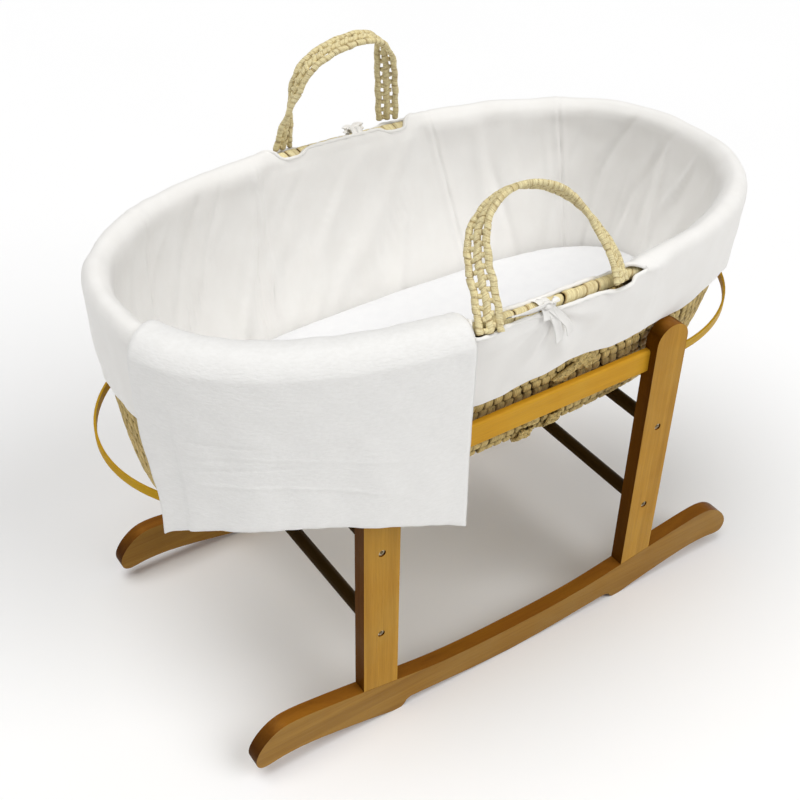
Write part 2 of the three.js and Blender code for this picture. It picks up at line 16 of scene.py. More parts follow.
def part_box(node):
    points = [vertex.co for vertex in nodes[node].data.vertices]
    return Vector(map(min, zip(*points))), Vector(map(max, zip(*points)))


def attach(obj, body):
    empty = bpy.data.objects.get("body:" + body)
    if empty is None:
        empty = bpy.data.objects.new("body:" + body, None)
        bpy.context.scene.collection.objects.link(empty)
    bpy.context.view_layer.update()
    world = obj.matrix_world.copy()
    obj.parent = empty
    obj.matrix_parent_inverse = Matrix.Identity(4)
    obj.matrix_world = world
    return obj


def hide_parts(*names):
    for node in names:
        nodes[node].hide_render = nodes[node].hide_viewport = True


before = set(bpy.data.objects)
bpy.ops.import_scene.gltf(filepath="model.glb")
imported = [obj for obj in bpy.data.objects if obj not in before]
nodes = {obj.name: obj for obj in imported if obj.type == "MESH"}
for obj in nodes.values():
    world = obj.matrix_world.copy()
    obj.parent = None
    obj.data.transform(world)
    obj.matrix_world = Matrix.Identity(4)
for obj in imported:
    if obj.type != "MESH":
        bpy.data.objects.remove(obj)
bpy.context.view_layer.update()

# %% [markdown]
# ## The camera
# A long lens from the front and left, looking down by 37 degrees. The camera is made first, so that
# every later piece can be judged from the same place. Its rotation is built from three axes, which
# is easier to reason about than three angles.

# %% Camera
AZIMUTH, ELEVATION = math.radians(-32.603), math.radians(37.02)
back = Vector((math.sin(AZIMUTH) * math.cos(ELEVATION),
               -math.cos(AZIMUTH) * math.cos(ELEVATION), math.sin(ELEVATION)))
right = Vector((0, 0, 1)).cross(back).normalized()
up = back.cross(right)
camera = bpy.data.objects.new("camera", bpy.data.cameras.new("camera"))
bpy.context.scene.collection.objects.link(camera)
turn = Matrix((right, up, back)).transposed()
camera.matrix_world = Matrix.Translation((-0.7905, -1.0760, 1.3405)) @ turn.to_4x4()
camera.data.lens = 57.25
camera.data.shift_x, camera.data.shift_y = 0.0436, -0.0330
bpy.context.scene.camera = camera
print("camera at", [round(v, 3) for v in camera.location], "lens", camera.data.lens)

# %% [markdown]
# ## Floor and studio light
# The floor is one large pale sheet. The key comes from the front and the right,
# high up, and a broad light from overhead fills the basket. Suns with a wide disc are used in place
# of area lights: they are just as soft, and they light the whole floor evenly. A pale world fills
# the rest.

# %% Floor and lights


def plain_mesh(name, points, faces):
    """A mesh object from point and face lists, shaded smooth, in the scene."""
    mesh = bpy.data.meshes.new(name)
    mesh.from_pydata([tuple(p) for p in points], [], [tuple(int(i) for i in f) for f in faces])
    mesh.polygons.foreach_set("use_smooth", [True] * len(mesh.polygons))
    made = bpy.data.objects.new(name, mesh)
    bpy.context.scene.collection.objects.link(made)
    return made


floor = plain_mesh("studio_floor", [(-9, -9, 0), (9, -9, 0), (9, 9, 0), (-9, 9, 0)], [(0, 1, 2, 3)])


def soft_sun(name, toward, spread_angle, strength):
    """A sun seen as a wide soft disc: light from one direction, equal all over the floor."""
    light = bpy.data.lights.new(name, "SUN")
    light.angle, light.energy = math.radians(spread_angle), strength
    made = bpy.data.objects.new(name, light)
    made.rotation_euler = Vector(toward).to_track_quat("Z", "Y").to_euler()
    bpy.context.scene.collection.objects.link(made)


soft_sun("key_light", (0.42, -0.72, 0.78), 40, 1.32)
soft_sun("top_light", (-0.30, 0.02, 1.0), 46, 1.80)
world = bpy.data.worlds.new("studio")
bpy.context.scene.world = world
world.use_nodes = True
backdrop = world.node_tree.nodes["Background"]
backdrop.inputs["Color"].default_value = (1, 1, 1, 1)
backdrop.inputs["Strength"].default_value = 0.21
bpy.context.scene.view_settings.view_transform = "Standard"

# %% [markdown]
# ## Shared surface effects
# Several finishes need the same things: long grain, leaf fibres, a fine weave. Each is a node group
# with named sockets, built once. A group only puts out values, colours and normals; the shader
# stays in each material.

# %% Node group helpers


def new_group(name, inputs, outputs):
    """A shader node group: inputs as (name, kind, default), outputs as (name, kind)."""
    tree = bpy.data.node_groups.new(name, "ShaderNodeTree")
    kinds = {"value": "NodeSocketFloat", "colour": "NodeSocketColor", "vector": "NodeSocketVector"}
    for label, kind, default in inputs:
        socket = tree.interface.new_socket(label, in_out="INPUT", socket_type=kinds[kind])
        socket.default_value = default
    for label, kind in outputs:
        tree.interface.new_socket(label, in_out="OUTPUT", socket_type=kinds[kind])
    return tree, tree.nodes.new("NodeGroupInput"), tree.nodes.new("NodeGroupOutput")


def node(tree, kind, links=None, **settings):
    """One node: links maps an input's name or number to a socket or a plain value."""
    made = tree.nodes.new(kind)
    for key, value in settings.items():
        setattr(made, key, value)
    for key, value in (links or {}).items():
        if isinstance(value, bpy.types.NodeSocket):
            tree.links.new(value, made.inputs[key])
        else:
            made.inputs[key].default_value = value
    return made


def noise(tree, vector, scale, detail=2.0, rough=0.5):
    """Cloudy values around a half, with a number of cells per metre."""
    return node(tree, "ShaderNodeTexNoise", {"Vector": vector, "Scale": scale, "Detail": detail,
                                             "Roughness": rough}).outputs["Fac"]


def spread(tree, value, low, high, to_low=0.0, to_high=1.0):
    """Stretches low..high of a value to to_low..to_high, clamped."""
    return node(tree, "ShaderNodeMapRange", {"Value": value, "From Min": low, "From Max": high,
                                             "To Min": to_low, "To Max": to_high}).outputs["Result"]


def blend_colour(tree, factor, first, second, how="MIX"):
    """A colour between two, or the first changed by the second in another way."""
    made = tree.nodes.new("ShaderNodeMix")
    made.data_type, made.blend_type = "RGBA", how
    for index, value in ((0, factor), (6, first), (7, second)):
        if isinstance(value, bpy.types.NodeSocket):
            tree.links.new(value, made.inputs[index])
        else:
            made.inputs[index].default_value = value
    return made.outputs[2]


def maths(tree, operation, a, b=0.0):
    return node(tree, "ShaderNodeMath", {0: a, 1: b}, operation=operation).outputs[0]


def scaled(tree, vector, by):
    """A vector with each part multiplied by its own number."""
    return node(tree, "ShaderNodeVectorMath", {0: vector, 1: by}, operation="MULTIPLY").outputs[0]


print("helpers ready: new_group, node, noise, spread, blend_colour, maths, scaled")

# %% Wood grain group
wood_grain, g_in, g_out = new_group("wood_grain", [
    ("Coordinates", "vector", (0, 0, 0)), ("Stretch", "vector", (120, 120, 6)),
    ("Light", "colour", (0.5, 0.3, 0.1, 1)), ("Dark", "colour", (0.3, 0.15, 0.04, 1)),
    ("Contrast", "value", 0.6)], [("Colour", "colour"), ("Height", "value"), ("Rough", "value")])
t = wood_grain
along = scaled(t, g_in.outputs["Coordinates"], g_in.outputs["Stretch"])
bands = spread(t, noise(t, along, 0.55, 3.0, 0.55), 0.34, 0.66)
fibres = spread(t, noise(t, along, 5.0, 4.0, 0.6), 0.3, 0.7)
pores = spread(t, noise(t, along, 9.0, 1.0), 0.62, 0.72)
mottle = spread(t, noise(t, g_in.outputs["Coordinates"], 16.0, 2.0), 0.35, 0.65)
mix = maths(t, "MULTIPLY", maths(t, "ADD", maths(t, "MULTIPLY", bands, 0.62),
                                 maths(t, "MULTIPLY", fibres, 0.38)), g_in.outputs["Contrast"])
tone = blend_colour(t, mix, g_in.outputs["Light"], g_in.outputs["Dark"])
tone = blend_colour(t, maths(t, "MULTIPLY", pores, 0.35), tone, g_in.outputs["Dark"])
tone = blend_colour(t, maths(t, "MULTIPLY", mottle, 0.16), tone, (0.9, 0.62, 0.3, 1), "MULTIPLY")
t.links.new(tone, g_out.inputs["Colour"])
t.links.new(maths(t, "SUBTRACT", fibres, maths(t, "MULTIPLY", pores, 0.8)), g_out.inputs["Height"])
t.links.new(spread(t, mottle, 0, 1, 0.34, 0.5), g_out.inputs["Rough"])
print("wood grain:", len(t.nodes), "nodes")

# %% Leaf fibre group
leaf_fibre, g_in, g_out = new_group("leaf_fibre", [
    ("Leaf", "vector", (0, 0, 0)), ("Crevice shade", "value", 0.0), ("Light", "colour", (0.62, 0.5, 0.28, 1)),
    ("Dark", "colour", (0.3, 0.22, 0.1, 1)), ("Green", "colour", (0.45, 0.42, 0.22, 1))],
    [("Colour", "colour"), ("Height", "value")])
t = leaf_fibre
leaf = g_in.outputs["Leaf"]
strand = scaled(t, leaf, (900, 60, 7))
lines = spread(t, noise(t, strand, 1.0, 3.0, 0.6), 0.32, 0.68)
shade = spread(t, noise(t, scaled(t, leaf, (0, 0, 40)), 1.0, 0.0), 0.3, 0.7)
blotch = spread(t, noise(t, leaf, 90.0, 3.0), 0.52, 0.72)
colour = blend_colour(t, maths(t, "MULTIPLY", lines, 0.62), g_in.outputs["Light"], g_in.outputs["Dark"])
colour = blend_colour(t, maths(t, "MULTIPLY", shade, 0.40), colour, g_in.outputs["Green"])
colour = blend_colour(t, maths(t, "MULTIPLY", blotch, 0.30), colour, g_in.outputs["Dark"])
# Painted shade: the colour goes to Dark at the ends of each wrap and in the valleys between rows.
crevice_shade = maths(t, "POWER", g_in.outputs["Crevice shade"], 1.3)
colour = blend_colour(t, maths(t, "MULTIPLY", crevice_shade, 0.92), colour, g_in.outputs["Dark"])
t.links.new(colour, g_out.inputs["Colour"])
t.links.new(lines, g_out.inputs["Height"])
print("leaf fibre:", len(t.nodes), "nodes")

# %% Cloth weave group
cloth_weave, g_in, g_out = new_group("cloth_weave", [
    ("Coordinates", "vector", (0, 0, 0)), ("Threads", "value", 1400.0), ("Crinkle", "value", 60.0),
    ("Crinkle amount", "value", 0.2), ("Flatten", "vector", (1, 1, 1))],
    [("Height", "value"), ("Shade", "value")])
t = cloth_weave
place = g_in.outputs["Coordinates"]
fine = node(t, "ShaderNodeTexNoise", {"Vector": place, "Scale": g_in.outputs["Threads"], "Detail": 1.0})
slub = spread(t, noise(t, place, 260.0, 2.0), 0.3, 0.7)
squeezed = scaled(t, place, g_in.outputs["Flatten"])
cells = node(t, "ShaderNodeTexNoise", {"Vector": squeezed, "Scale": g_in.outputs["Crinkle"],
                                       "Detail": 3.0, "Roughness": 0.55})
raised = maths(t, "MULTIPLY", cells.outputs["Fac"], g_in.outputs["Crinkle amount"])
height = maths(t, "ADD", raised, maths(t, "MULTIPLY", maths(t, "ADD", fine.outputs["Fac"], slub), 0.05))
t.links.new(height, g_out.inputs["Height"])
t.links.new(spread(t, cells.outputs["Fac"], 0.35, 0.65), g_out.inputs["Shade"])
print("groups:", [g.name for g in bpy.data.node_groups])

# %% [markdown]
# ## Stained timber
# The stand is softwood under a honey stain and satin lacquer. Where the surface doesn't face the
# front or the rear, each material is changed by painted light: painted shade on the faces towards
# the sides, painted shade on the tops of the uprights and rockers, and a painted highlight on the
# tops of the rails. The grain runs along each piece, which is set by how far the group stretches its
# coordinates along X, Y and Z.

# %% Material helpers


def new_material(name):
    """A material, its node tree and its Principled shader."""
    made = bpy.data.materials.new(name)
    made.use_nodes = True
    return made, made.node_tree, made.node_tree.nodes["Principled BSDF"]


def object_place(tree):
    return tree.nodes.new("ShaderNodeTexCoord").outputs["Object"]


def grouped(tree, group, values):
    """A node group placed in a material, with its inputs set or linked."""
    made = node(tree, "ShaderNodeGroup", node_tree=group)
    for key, value in values.items():
        if isinstance(value, bpy.types.NodeSocket):
            tree.links.new(value, made.inputs[key])
        else:
            made.inputs[key].default_value = value
    return made


def bump(tree, shader, height, strength, distance):
    made = node(tree, "ShaderNodeBump", {"Height": height, "Strength": strength, "Distance": distance})
    tree.links.new(made.outputs["Normal"], shader.inputs["Normal"])


print("material helpers ready")

# %% Timber materials


def timber(name, stretch, light, dark, side_painted_shade=(1, 1, 1, 1), top=(1, 1, 1, 1), contrast=0.6):
    """Lacquered timber whose grain runs along the direction with the smallest stretch. The faces
    towards X are multiplied by the side colour, which is painted shade, and those towards Z by the
    top colour, which is painted light on the tops."""
    material, tree, shader = new_material(name)
    grain = grouped(tree, wood_grain, {"Coordinates": object_place(tree), "Stretch": stretch,
                                       "Light": light, "Dark": dark, "Contrast": contrast})
    normal = tree.nodes.new("ShaderNodeTexCoord").outputs["Normal"]
    facing = node(tree, "ShaderNodeSeparateXYZ", {0: normal})
    colour = grain.outputs["Colour"]
    shine = spread(tree, maths(tree, "ABSOLUTE", facing.outputs["X"]), 0.25, 0.85, 0.12, 0.02)
    tree.links.new(shine, shader.inputs["Specular IOR Level"])
    # Painted light by facing: painted shade on the faces towards X, the painted top colour on the faces
    # towards Z.
    for axis, painted_tint in (("X", side_painted_shade), ("Z", top)):
        turned = spread(tree, maths(tree, "ABSOLUTE", facing.outputs[axis]), 0.25, 0.85)
        painted_tinted = blend_colour(tree, 1.0, colour, painted_tint, "MULTIPLY")
        colour = blend_colour(tree, turned, colour, painted_tinted)
    tree.links.new(colour, shader.inputs["Base Color"])
    tree.links.new(grain.outputs["Rough"], shader.inputs["Roughness"])
    bump(tree, shader, grain.outputs["Height"], 0.3, 0.0004)
    return material


HONEY = (0.54, 0.290, 0.036, 1)
HONEY_DARK = (0.30, 0.140, 0.012, 1)
# Painted shade for the faces towards the sides.
SIDE_PAINTED_SHADE = (0.24, 0.16, 0.05, 1)
ALONG_X, ALONG_Y, ALONG_Z = (4, 150, 150), (150, 4, 150), (150, 150, 4)
# The upright's and rocker's top colours are painted shade on their tops.
upright_wood = timber("stained_upright", ALONG_Z, HONEY, HONEY_DARK, SIDE_PAINTED_SHADE, (0.6, 0.45, 0.3, 1), 0.75)
rocker_wood = timber("stained_rocker", ALONG_X, (0.38, 0.205, 0.036, 1), (0.21, 0.098, 0.014, 1),
                     SIDE_PAINTED_SHADE, (0.82, 0.60, 0.32, 1), 0.8)
# The dowel is dark-stained timber, darkened further by painted shade for the shadow under the basket.
dowel_wood = timber("dark_dowel", ALONG_Y, (0.050, 0.027, 0.005, 1), (0.020, 0.010, 0.002, 1))
# The rail's top colour is a painted highlight on its rounded top.
rail_wood = timber("golden_rail", ALONG_X, (0.68, 0.365, 0.022, 1), (0.46, 0.22, 0.010, 1),
                   SIDE_PAINTED_SHADE, (1.25, 1.25, 1.4, 1), 0.5)
hoop_wood = timber("golden_hoop", (9, 9, 500), (0.62, 0.38, 0.022, 1), (0.36, 0.19, 0.008, 1))
print("timber:", [m.name for m in bpy.data.materials])

# %% [markdown]
# ## Steel
# The bolts show only as small sockets at the bottom of their holes. Their yellow zinc plating is a
# metal with a slightly uneven, satin surface.

# %% Steel material
zinc, tree, shader = new_material("zinc_steel")
cloudy = spread(tree, noise(tree, object_place(tree), 900.0, 3.0), 0.3, 0.7)
tree.links.new(blend_colour(tree, cloudy, (0.46, 0.38, 0.24, 1), (0.66, 0.58, 0.42, 1)),
               shader.inputs["Base Color"])
tree.links.new(spread(tree, cloudy, 0, 1, 0.28, 0.45), shader.inputs["Roughness"])
shader.inputs["Metallic"].default_value = 0.85
print("steel:", zinc.name)

# %% [markdown]
# ## The stand
# The stand's solids are used as they are. A real edge is never quite sharp, and it is the thin line
# of light along it that makes timber look solid, so each piece gets a small bevel from a modifier.

# %% Dress the stand's own nodes


def soften_edges(piece, width):
    """Joins the split corners, rounds the edges and evens the shading, with modifiers only."""
    mesh = piece.data
    if "custom_normal" in mesh.attributes:
        mesh.attributes.remove(mesh.attributes["custom_normal"])
    mesh.polygons.foreach_set("use_smooth", [True] * len(mesh.polygons))
    weld = piece.modifiers.new("join corners", "WELD")
    weld.merge_threshold = 0.00002
    bevel = piece.modifiers.new("round edges", "BEVEL")
    bevel.width, bevel.segments, bevel.limit_method = width, 2, "ANGLE"
    bevel.angle_limit = math.radians(38)
    piece.modifiers.new("even shading", "WEIGHTED_NORMAL").weight = 60


def dress(piece, material):
    """Gives a piece one material in place of what it had."""
    piece.data.materials.clear()
    piece.data.materials.append(material)


finishes = {"rocker": (rocker_wood, 0.0016), "upright": (upright_wood, 0.0016),
            "side_rail": (rail_wood, 0.0006), "end_hoop": (hoop_wood, 0.0008),
            "dowel": (dowel_wood, 0.0006), "rail_pin": (rail_wood, 0.0003),
            "bolt": (zinc, 0.0003), "foot_screw": (zinc, 0.0003), "hoop_screw": (zinc, 0.0003)}
for name, piece in nodes.items():
    for start, (material, width) in finishes.items():
        if name.startswith(start):
            dress(piece, material)
            soften_edges(piece, width)
print("dressed:", sum(n.startswith(tuple(finishes)) for n in nodes), "stand nodes")

# %% [markdown]
# ## The basket's surface
# Every soft piece follows the basket, so its shape comes first: a superellipse in plan that flares
# from a narrow base to a wide rim, with the rim a little higher at the head. One function gives any
# point on it, moved out or in along the plan, for whole arrays at once.

# %% Basket surface
RIM_Z, HEAD_RISE = 0.587, 0.0095
BASE_LENGTH, BASE_WIDTH, BASE_POWER = 0.379, 0.1315, 3.3
RIM_LENGTH, RIM_WIDTH, RIM_POWER = 0.4275, 0.2345, 2.4
FLARE_LENGTH, FLARE_WIDTH = 0.46, 0.80
COIL_DROP, COIL_RADIUS = 0.012, 0.008
base_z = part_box("basket_shell")[0].z


def signed_power(value, exponent):
    return np.sign(value) * np.abs(value) ** exponent


def rim_height(x):
    return RIM_Z - HEAD_RISE * x / RIM_LENGTH


def on_basket(angle, z, offset=0.0):
    """Points on the basket's outside at plan angles and heights, moved out by an offset."""
    angle, z, offset = np.broadcast_arrays(*(np.asarray(v, float) for v in (angle, z, offset)))
    level = np.clip((z - base_z) / (RIM_Z - base_z), 0, 1)
    for _ in range(3):
        length = BASE_LENGTH + (RIM_LENGTH - BASE_LENGTH) * level ** FLARE_LENGTH + offset
        width = BASE_WIDTH + (RIM_WIDTH - BASE_WIDTH) * level ** FLARE_WIDTH + offset
        n = BASE_POWER + (RIM_POWER - BASE_POWER) * level
        x = length * signed_power(np.cos(angle), 2 / n)
        y = width * signed_power(np.sin(angle), 2 / n)
        level = np.clip((z - base_z) / (rim_height(x) - base_z), 0, 1)
    return np.stack([x, y, z], -1)


def below_rim(angle, drop, offset=0.0):
    rim = on_basket(angle, RIM_Z, offset)
    return on_basket(angle, rim_height(rim[..., 0]) - drop, offset)


def even_angles(count, z=RIM_Z, start=0.0):
    """Plan angles whose points are evenly spaced along the basket at a height."""
    fine = np.linspace(0, 2 * math.pi, 6001)
    steps = np.linalg.norm(np.diff(on_basket(fine, z), axis=0), axis=1)
    run = np.concatenate([[0], np.cumsum(steps)])
    return np.interp((np.arange(count) + start) / count * run[-1], run, fine), run[-1]


def unit(v):
    return v / np.maximum(np.linalg.norm(v, axis=-1, keepdims=True), 1e-12)


coil_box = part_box("basket_rim_coil")
print("rim:", round(2 * RIM_LENGTH, 4), "x", round(2 * RIM_WIDTH, 4), "m; CAD coil:",
      [round(v, 4) for v in coil_box[1] - coil_box[0]], "rim run:", round(even_angles(8)[1], 3))

# %% [markdown]
# ## Wrapped palm leaf
# The basket, its rim and its handles are all the same thing: a bundle of leaf wrapped with a flat
# strip of leaf. A texture could fake the wraps, but their rounded backs and the dark gaps between
# them are what makes palm look like palm, so each wrap is its own small band of mesh. The band
# keeps its place along the leaf in an attribute, which the leaf material reads for its fibres.

# %% Wrapped cord builder
cord_random = np.random.default_rng(7)


def wrapped_cord(line, side, out, half_side, half_out, wrap, slant=0.0, arc=(-math.pi, math.pi),
                 closed=False, around=10, swell=0.14, wander=0.10, square=1.0):
    """Wraps of leaf along a line of points, with the side and out directions given at each point.
    A closed line is laid three times over, so that the middle round has neighbours at both ends."""
    if closed:
        line, side, out = (np.concatenate([v, v, v]) for v in (line, side, out))
    run = np.concatenate([[0], np.cumsum(np.linalg.norm(np.diff(line, axis=0), axis=1))])
    low, high = (run[len(line) // 3], run[2 * len(line) // 3]) if closed else (0, run[-1])
    count = max(1, round((high - low) / wrap))
    pitch = (high - low) / count
    centre = low + (np.arange(count) + 0.5 + cord_random.uniform(-wander, wander, count)) * pitch
    stations = np.array([-0.50, -0.44, -0.30, 0.30, 0.44, 0.50])
    girth = 1 - swell * np.array([1.8, 0.35, 0.0, 0.0, 0.35, 1.8])
    whole_turn = arc[1] - arc[0] > 6.2
    turn = np.linspace(*arc, around + 1)[: around if whole_turn else around + 1]
    size = 1 + cord_random.uniform(-0.07, 0.07, (count, 1, 1))
    lean = slant + cord_random.normal(0, 0.07, (count, 1, 1))
    place = (centre[:, None, None] + stations[None, :, None] * pitch
             + lean * half_side * np.sin(turn)[None, None, :])
    at = [np.stack([np.interp(place, run, v[:, k]) for k in range(3)], -1) for v in (line, side, out)]
    middle, across, outward = at[0], unit(at[1]), unit(at[2])
    reach = size * girth[None, :, None]
    points = (middle + across * (reach * half_side * signed_power(np.sin(turn), square))[..., None]
              + outward * (reach * half_out * signed_power(np.cos(turn), square))[..., None])
    rows, cols = len(stations), len(turn)
    first = np.arange(count)[:, None, None] * rows * cols
    r = np.arange(rows - 1)[None, :, None]
    c = np.arange(cols if whole_turn else cols - 1)[None, None, :]
    d = (c + 1) % cols
    faces = np.stack([first + r * cols + c, first + r * cols + d,
                      first + (r + 1) * cols + d, first + (r + 1) * cols + c], -1).reshape(-1, 4)
    lengthwise = stations[None, :, None] * pitch + cord_random.uniform(0, 9, (count, 1, 1))
    leaf = np.stack(np.broadcast_arrays(lengthwise, turn[None, None, :] * half_side,
                                        cord_random.uniform(0, 5, (count, 1, 1))), -1)
    # Painted shade mask: high at the ends of each wrap and in the valleys where it tucks between rows.
    edge = np.broadcast_to((np.abs(stations) / 0.50)[None, :, None] ** 6, points.shape[:3])
    valley = 0.0 if whole_turn else np.abs(np.sin(turn))[None, None, :] ** 6
    edge = np.clip(edge + 0.8 * valley, 0, 1)
    return points.reshape(-1, 3), faces, leaf.reshape(-1, 3), edge.reshape(-1)


def leaf_piece(name, parts):
    """One mesh object from several wrapped cords, with the leaf attributes on its points."""
    sizes = np.cumsum([0] + [len(p[0]) for p in parts])
    faces = np.concatenate([p[1] + s for p, s in zip(parts, sizes)])
    made = plain_mesh(name, np.concatenate([p[0] for p in parts]), faces)
    made.data.attributes.new("leaf", "FLOAT_VECTOR", "POINT").data.foreach_set(
        "vector", np.concatenate([p[2] for p in parts]).ravel())
    made.data.attributes.new("leaf_crevice_shade", "FLOAT", "POINT").data.foreach_set(
        "value", np.concatenate([p[3] for p in parts]))
    return made


print("the cord builder draws its wraps in one fixed order")

# %% Palm materials


def palm(name, light, dark, green):
    material, tree, shader = new_material(name)
    leaf_at = node(tree, "ShaderNodeAttribute", attribute_name="leaf").outputs["Vector"]
    crevice_shade_at = node(tree, "ShaderNodeAttribute", attribute_name="leaf_crevice_shade").outputs["Fac"]
    fibre = grouped(tree, leaf_fibre, {"Leaf": leaf_at, "Crevice shade": crevice_shade_at, "Light": light,
                                       "Dark": dark, "Green": green})
    tree.links.new(fibre.outputs["Colour"], shader.inputs["Base Color"])
    shader.inputs["Roughness"].default_value = 0.62
    shader.inputs["Specular IOR Level"].default_value = 0.2
    bump(tree, shader, fibre.outputs["Height"], 0.6, 0.0006)
    return material


# The weave's near-black Dark colour carries the painted shade between the wraps as well as its fibres.
weave_palm = palm("palm_weave", (0.92, 0.70, 0.28, 1), (0.055, 0.030, 0.006, 1),
                  (0.50, 0.36, 0.13, 1))
handle_palm = palm("palm_braid", (1.0, 0.92, 0.57, 1), (0.36, 0.22, 0.070, 1),
                   (0.90, 0.76, 0.38, 1))
print("palm:", weave_palm.name, handle_palm.name)

# %% [markdown]
# ## The basket
# Rows of coil run round the wall, each about 17 mm tall, laid on each other from the base to the
# rim, and more rings of the same coil close the bottom. Behind them sits a dark core whose colour is
# painted shade, so the gaps between the wraps are dark and nothing shows through.

# %% Basket rows
ROW, ROW_WRAP, BASE_RINGS = 0.0168, 0.0135, 8


def along_of(line):
    """The direction along a closed line at each of its points."""
    return unit(np.roll(line, -1, 0) - np.roll(line, 1, 0))


row_parts = []
wall_rows = int((RIM_Z - COIL_DROP - COIL_RADIUS - base_z) / ROW)
for row in range(wall_rows):
    z = base_z + 0.0092 + row * ROW
    ring_angles = even_angles(420, z, start=0.5 * (row % 2))[0]
    middle = on_basket(ring_angles, z, -0.0040)
    rise = unit(on_basket(ring_angles, z + 0.004) - on_basket(ring_angles, z - 0.004))
    outward = unit(np.cross(along_of(middle), rise))
    row_parts.append(wrapped_cord(middle, rise, outward, 0.0087, 0.0056, ROW_WRAP, slant=-0.24,
                                  arc=(-2.0, 2.0), closed=True, around=10, swell=0.44, wander=0.12,
                                  square=0.5))
base_angles = even_angles(300, base_z)[0]
for ring in range(BASE_RINGS):
    middle = on_basket(base_angles, base_z + 0.0062, -0.012 - ring * ROW)
    outward = np.tile((0.0, 0.0, -1.0), (len(middle), 1))
    inward = unit(np.cross(outward, along_of(middle)))
    row_parts.append(wrapped_cord(middle, inward, outward, 0.0092, 0.0055, 0.0150, slant=0.2,
                                  arc=(-2.0, 2.0), closed=True, around=6))
basket_weave = leaf_piece("basket_weave", row_parts)
dress(basket_weave, weave_palm)
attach(basket_weave, "basket")
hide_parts("basket_shell")
print("basket:", wall_rows, "rows,", len(basket_weave.data.vertices), "points")

# %% Dark core behind the rows: painted shade in the gaps


def ring_surface(rings, close_last=False):
    """Points and faces of rings of equal length, joined one to the next."""
    count = len(rings[0])
    faces = [(r * count + i, r * count + (i + 1) % count,
              (r + 1) * count + (i + 1) % count, (r + 1) * count + i)
             for r in range(len(rings) - 1) for i in range(count)]
    if close_last:
        faces.append(tuple(range((len(rings) - 1) * count, len(rings) * count)))
    return np.concatenate(rings), faces


# The core's dark streaky colour is painted shade for the shadow in the gaps between the wraps.
core_painted_shade, tree, shader = new_material("palm_core_painted_shade")
streak = scaled(tree, object_place(tree), (60, 60, 700))
tree.links.new(blend_colour(tree, noise(tree, streak, 1.0, 3.0), (0.10, 0.07, 0.03, 1),
                            (0.22, 0.16, 0.08, 1)), shader.inputs["Base Color"])
shader.inputs["Roughness"].default_value = 0.9
core_angles = even_angles(160)[0]
rings = [below_rim(core_angles, 0.018, -0.0050)]
rings += [on_basket(core_angles, z, -0.0052) for z in np.linspace(RIM_Z - 0.04, base_z + 0.009, 14)]
rings += [on_basket(core_angles, base_z + 0.0085, inset) for inset in (-0.03, -0.07, -0.125)]
basket_core = plain_mesh("basket_core", *ring_surface(rings, close_last=True))
dress(basket_core, core_painted_shade)
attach(basket_core, "basket")
print("core:", len(basket_core.data.vertices), "points")

# %% Rim coil
rim_angles = even_angles(900)[0]
middle = below_rim(rim_angles, COIL_DROP, -COIL_RADIUS)
along = along_of(middle)
outward = unit(np.cross(along, (0.0, 0.0, 1.0)))
rim_coil = leaf_piece("rim_coil_wraps", [wrapped_cord(
    middle, np.cross(outward, along), outward, 0.0079, 0.0079, 0.0165, slant=0.55, closed=True,
    around=12, swell=0.08)])
dress(rim_coil, handle_palm)
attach(rim_coil, "basket")
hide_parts("basket_rim_coil")
print("rim coil:", len(rim_coil.data.vertices), "points")

# %% [markdown]
# ## The handles
# Each handle is a flat strap of three wrapped cords with short rungs between them, so two rows of
# small holes run along it. It is built on the same arch as the CAD strap. The arch lies in a plane
# that leans in from the hinge line, and a list of angles twists the strap's width from lying along
# the rim to standing across it. A plain core inside each cord closes the gaps between its wraps.

# %% Handle braid builder


def smooth_line(points, count):
    """An even line of points through the given ones, by Catmull-Rom pieces."""
    p = np.asarray(points, float)
    p = np.vstack([2 * p[0] - p[1], p, 2 * p[-1] - p[-2]])
    made = []
    for k in range(1, len(p) - 2):
        t = np.linspace(0, 1, 24, endpoint=False)[:, None]
        a, b, c, d = p[k - 1], p[k], p[k + 1], p[k + 2]
        made.append(0.5 * (2 * b + (c - a) * t + (2 * a - 5 * b + 4 * c - d) * t ** 2
                           + (3 * b - a - 3 * c + d) * t ** 3))
    line = np.vstack(made + [p[-2][None]])
    run = np.concatenate([[0], np.cumsum(np.linalg.norm(np.diff(line, axis=0), axis=1))])
    even = np.linspace(0, run[-1], count)
    return np.stack([np.interp(even, run, line[:, k]) for k in range(3)], -1)


def ease(value, low, high):
    t = np.clip((value - low) / (high - low), 0, 1)
    return t * t * (3 - 2 * t)


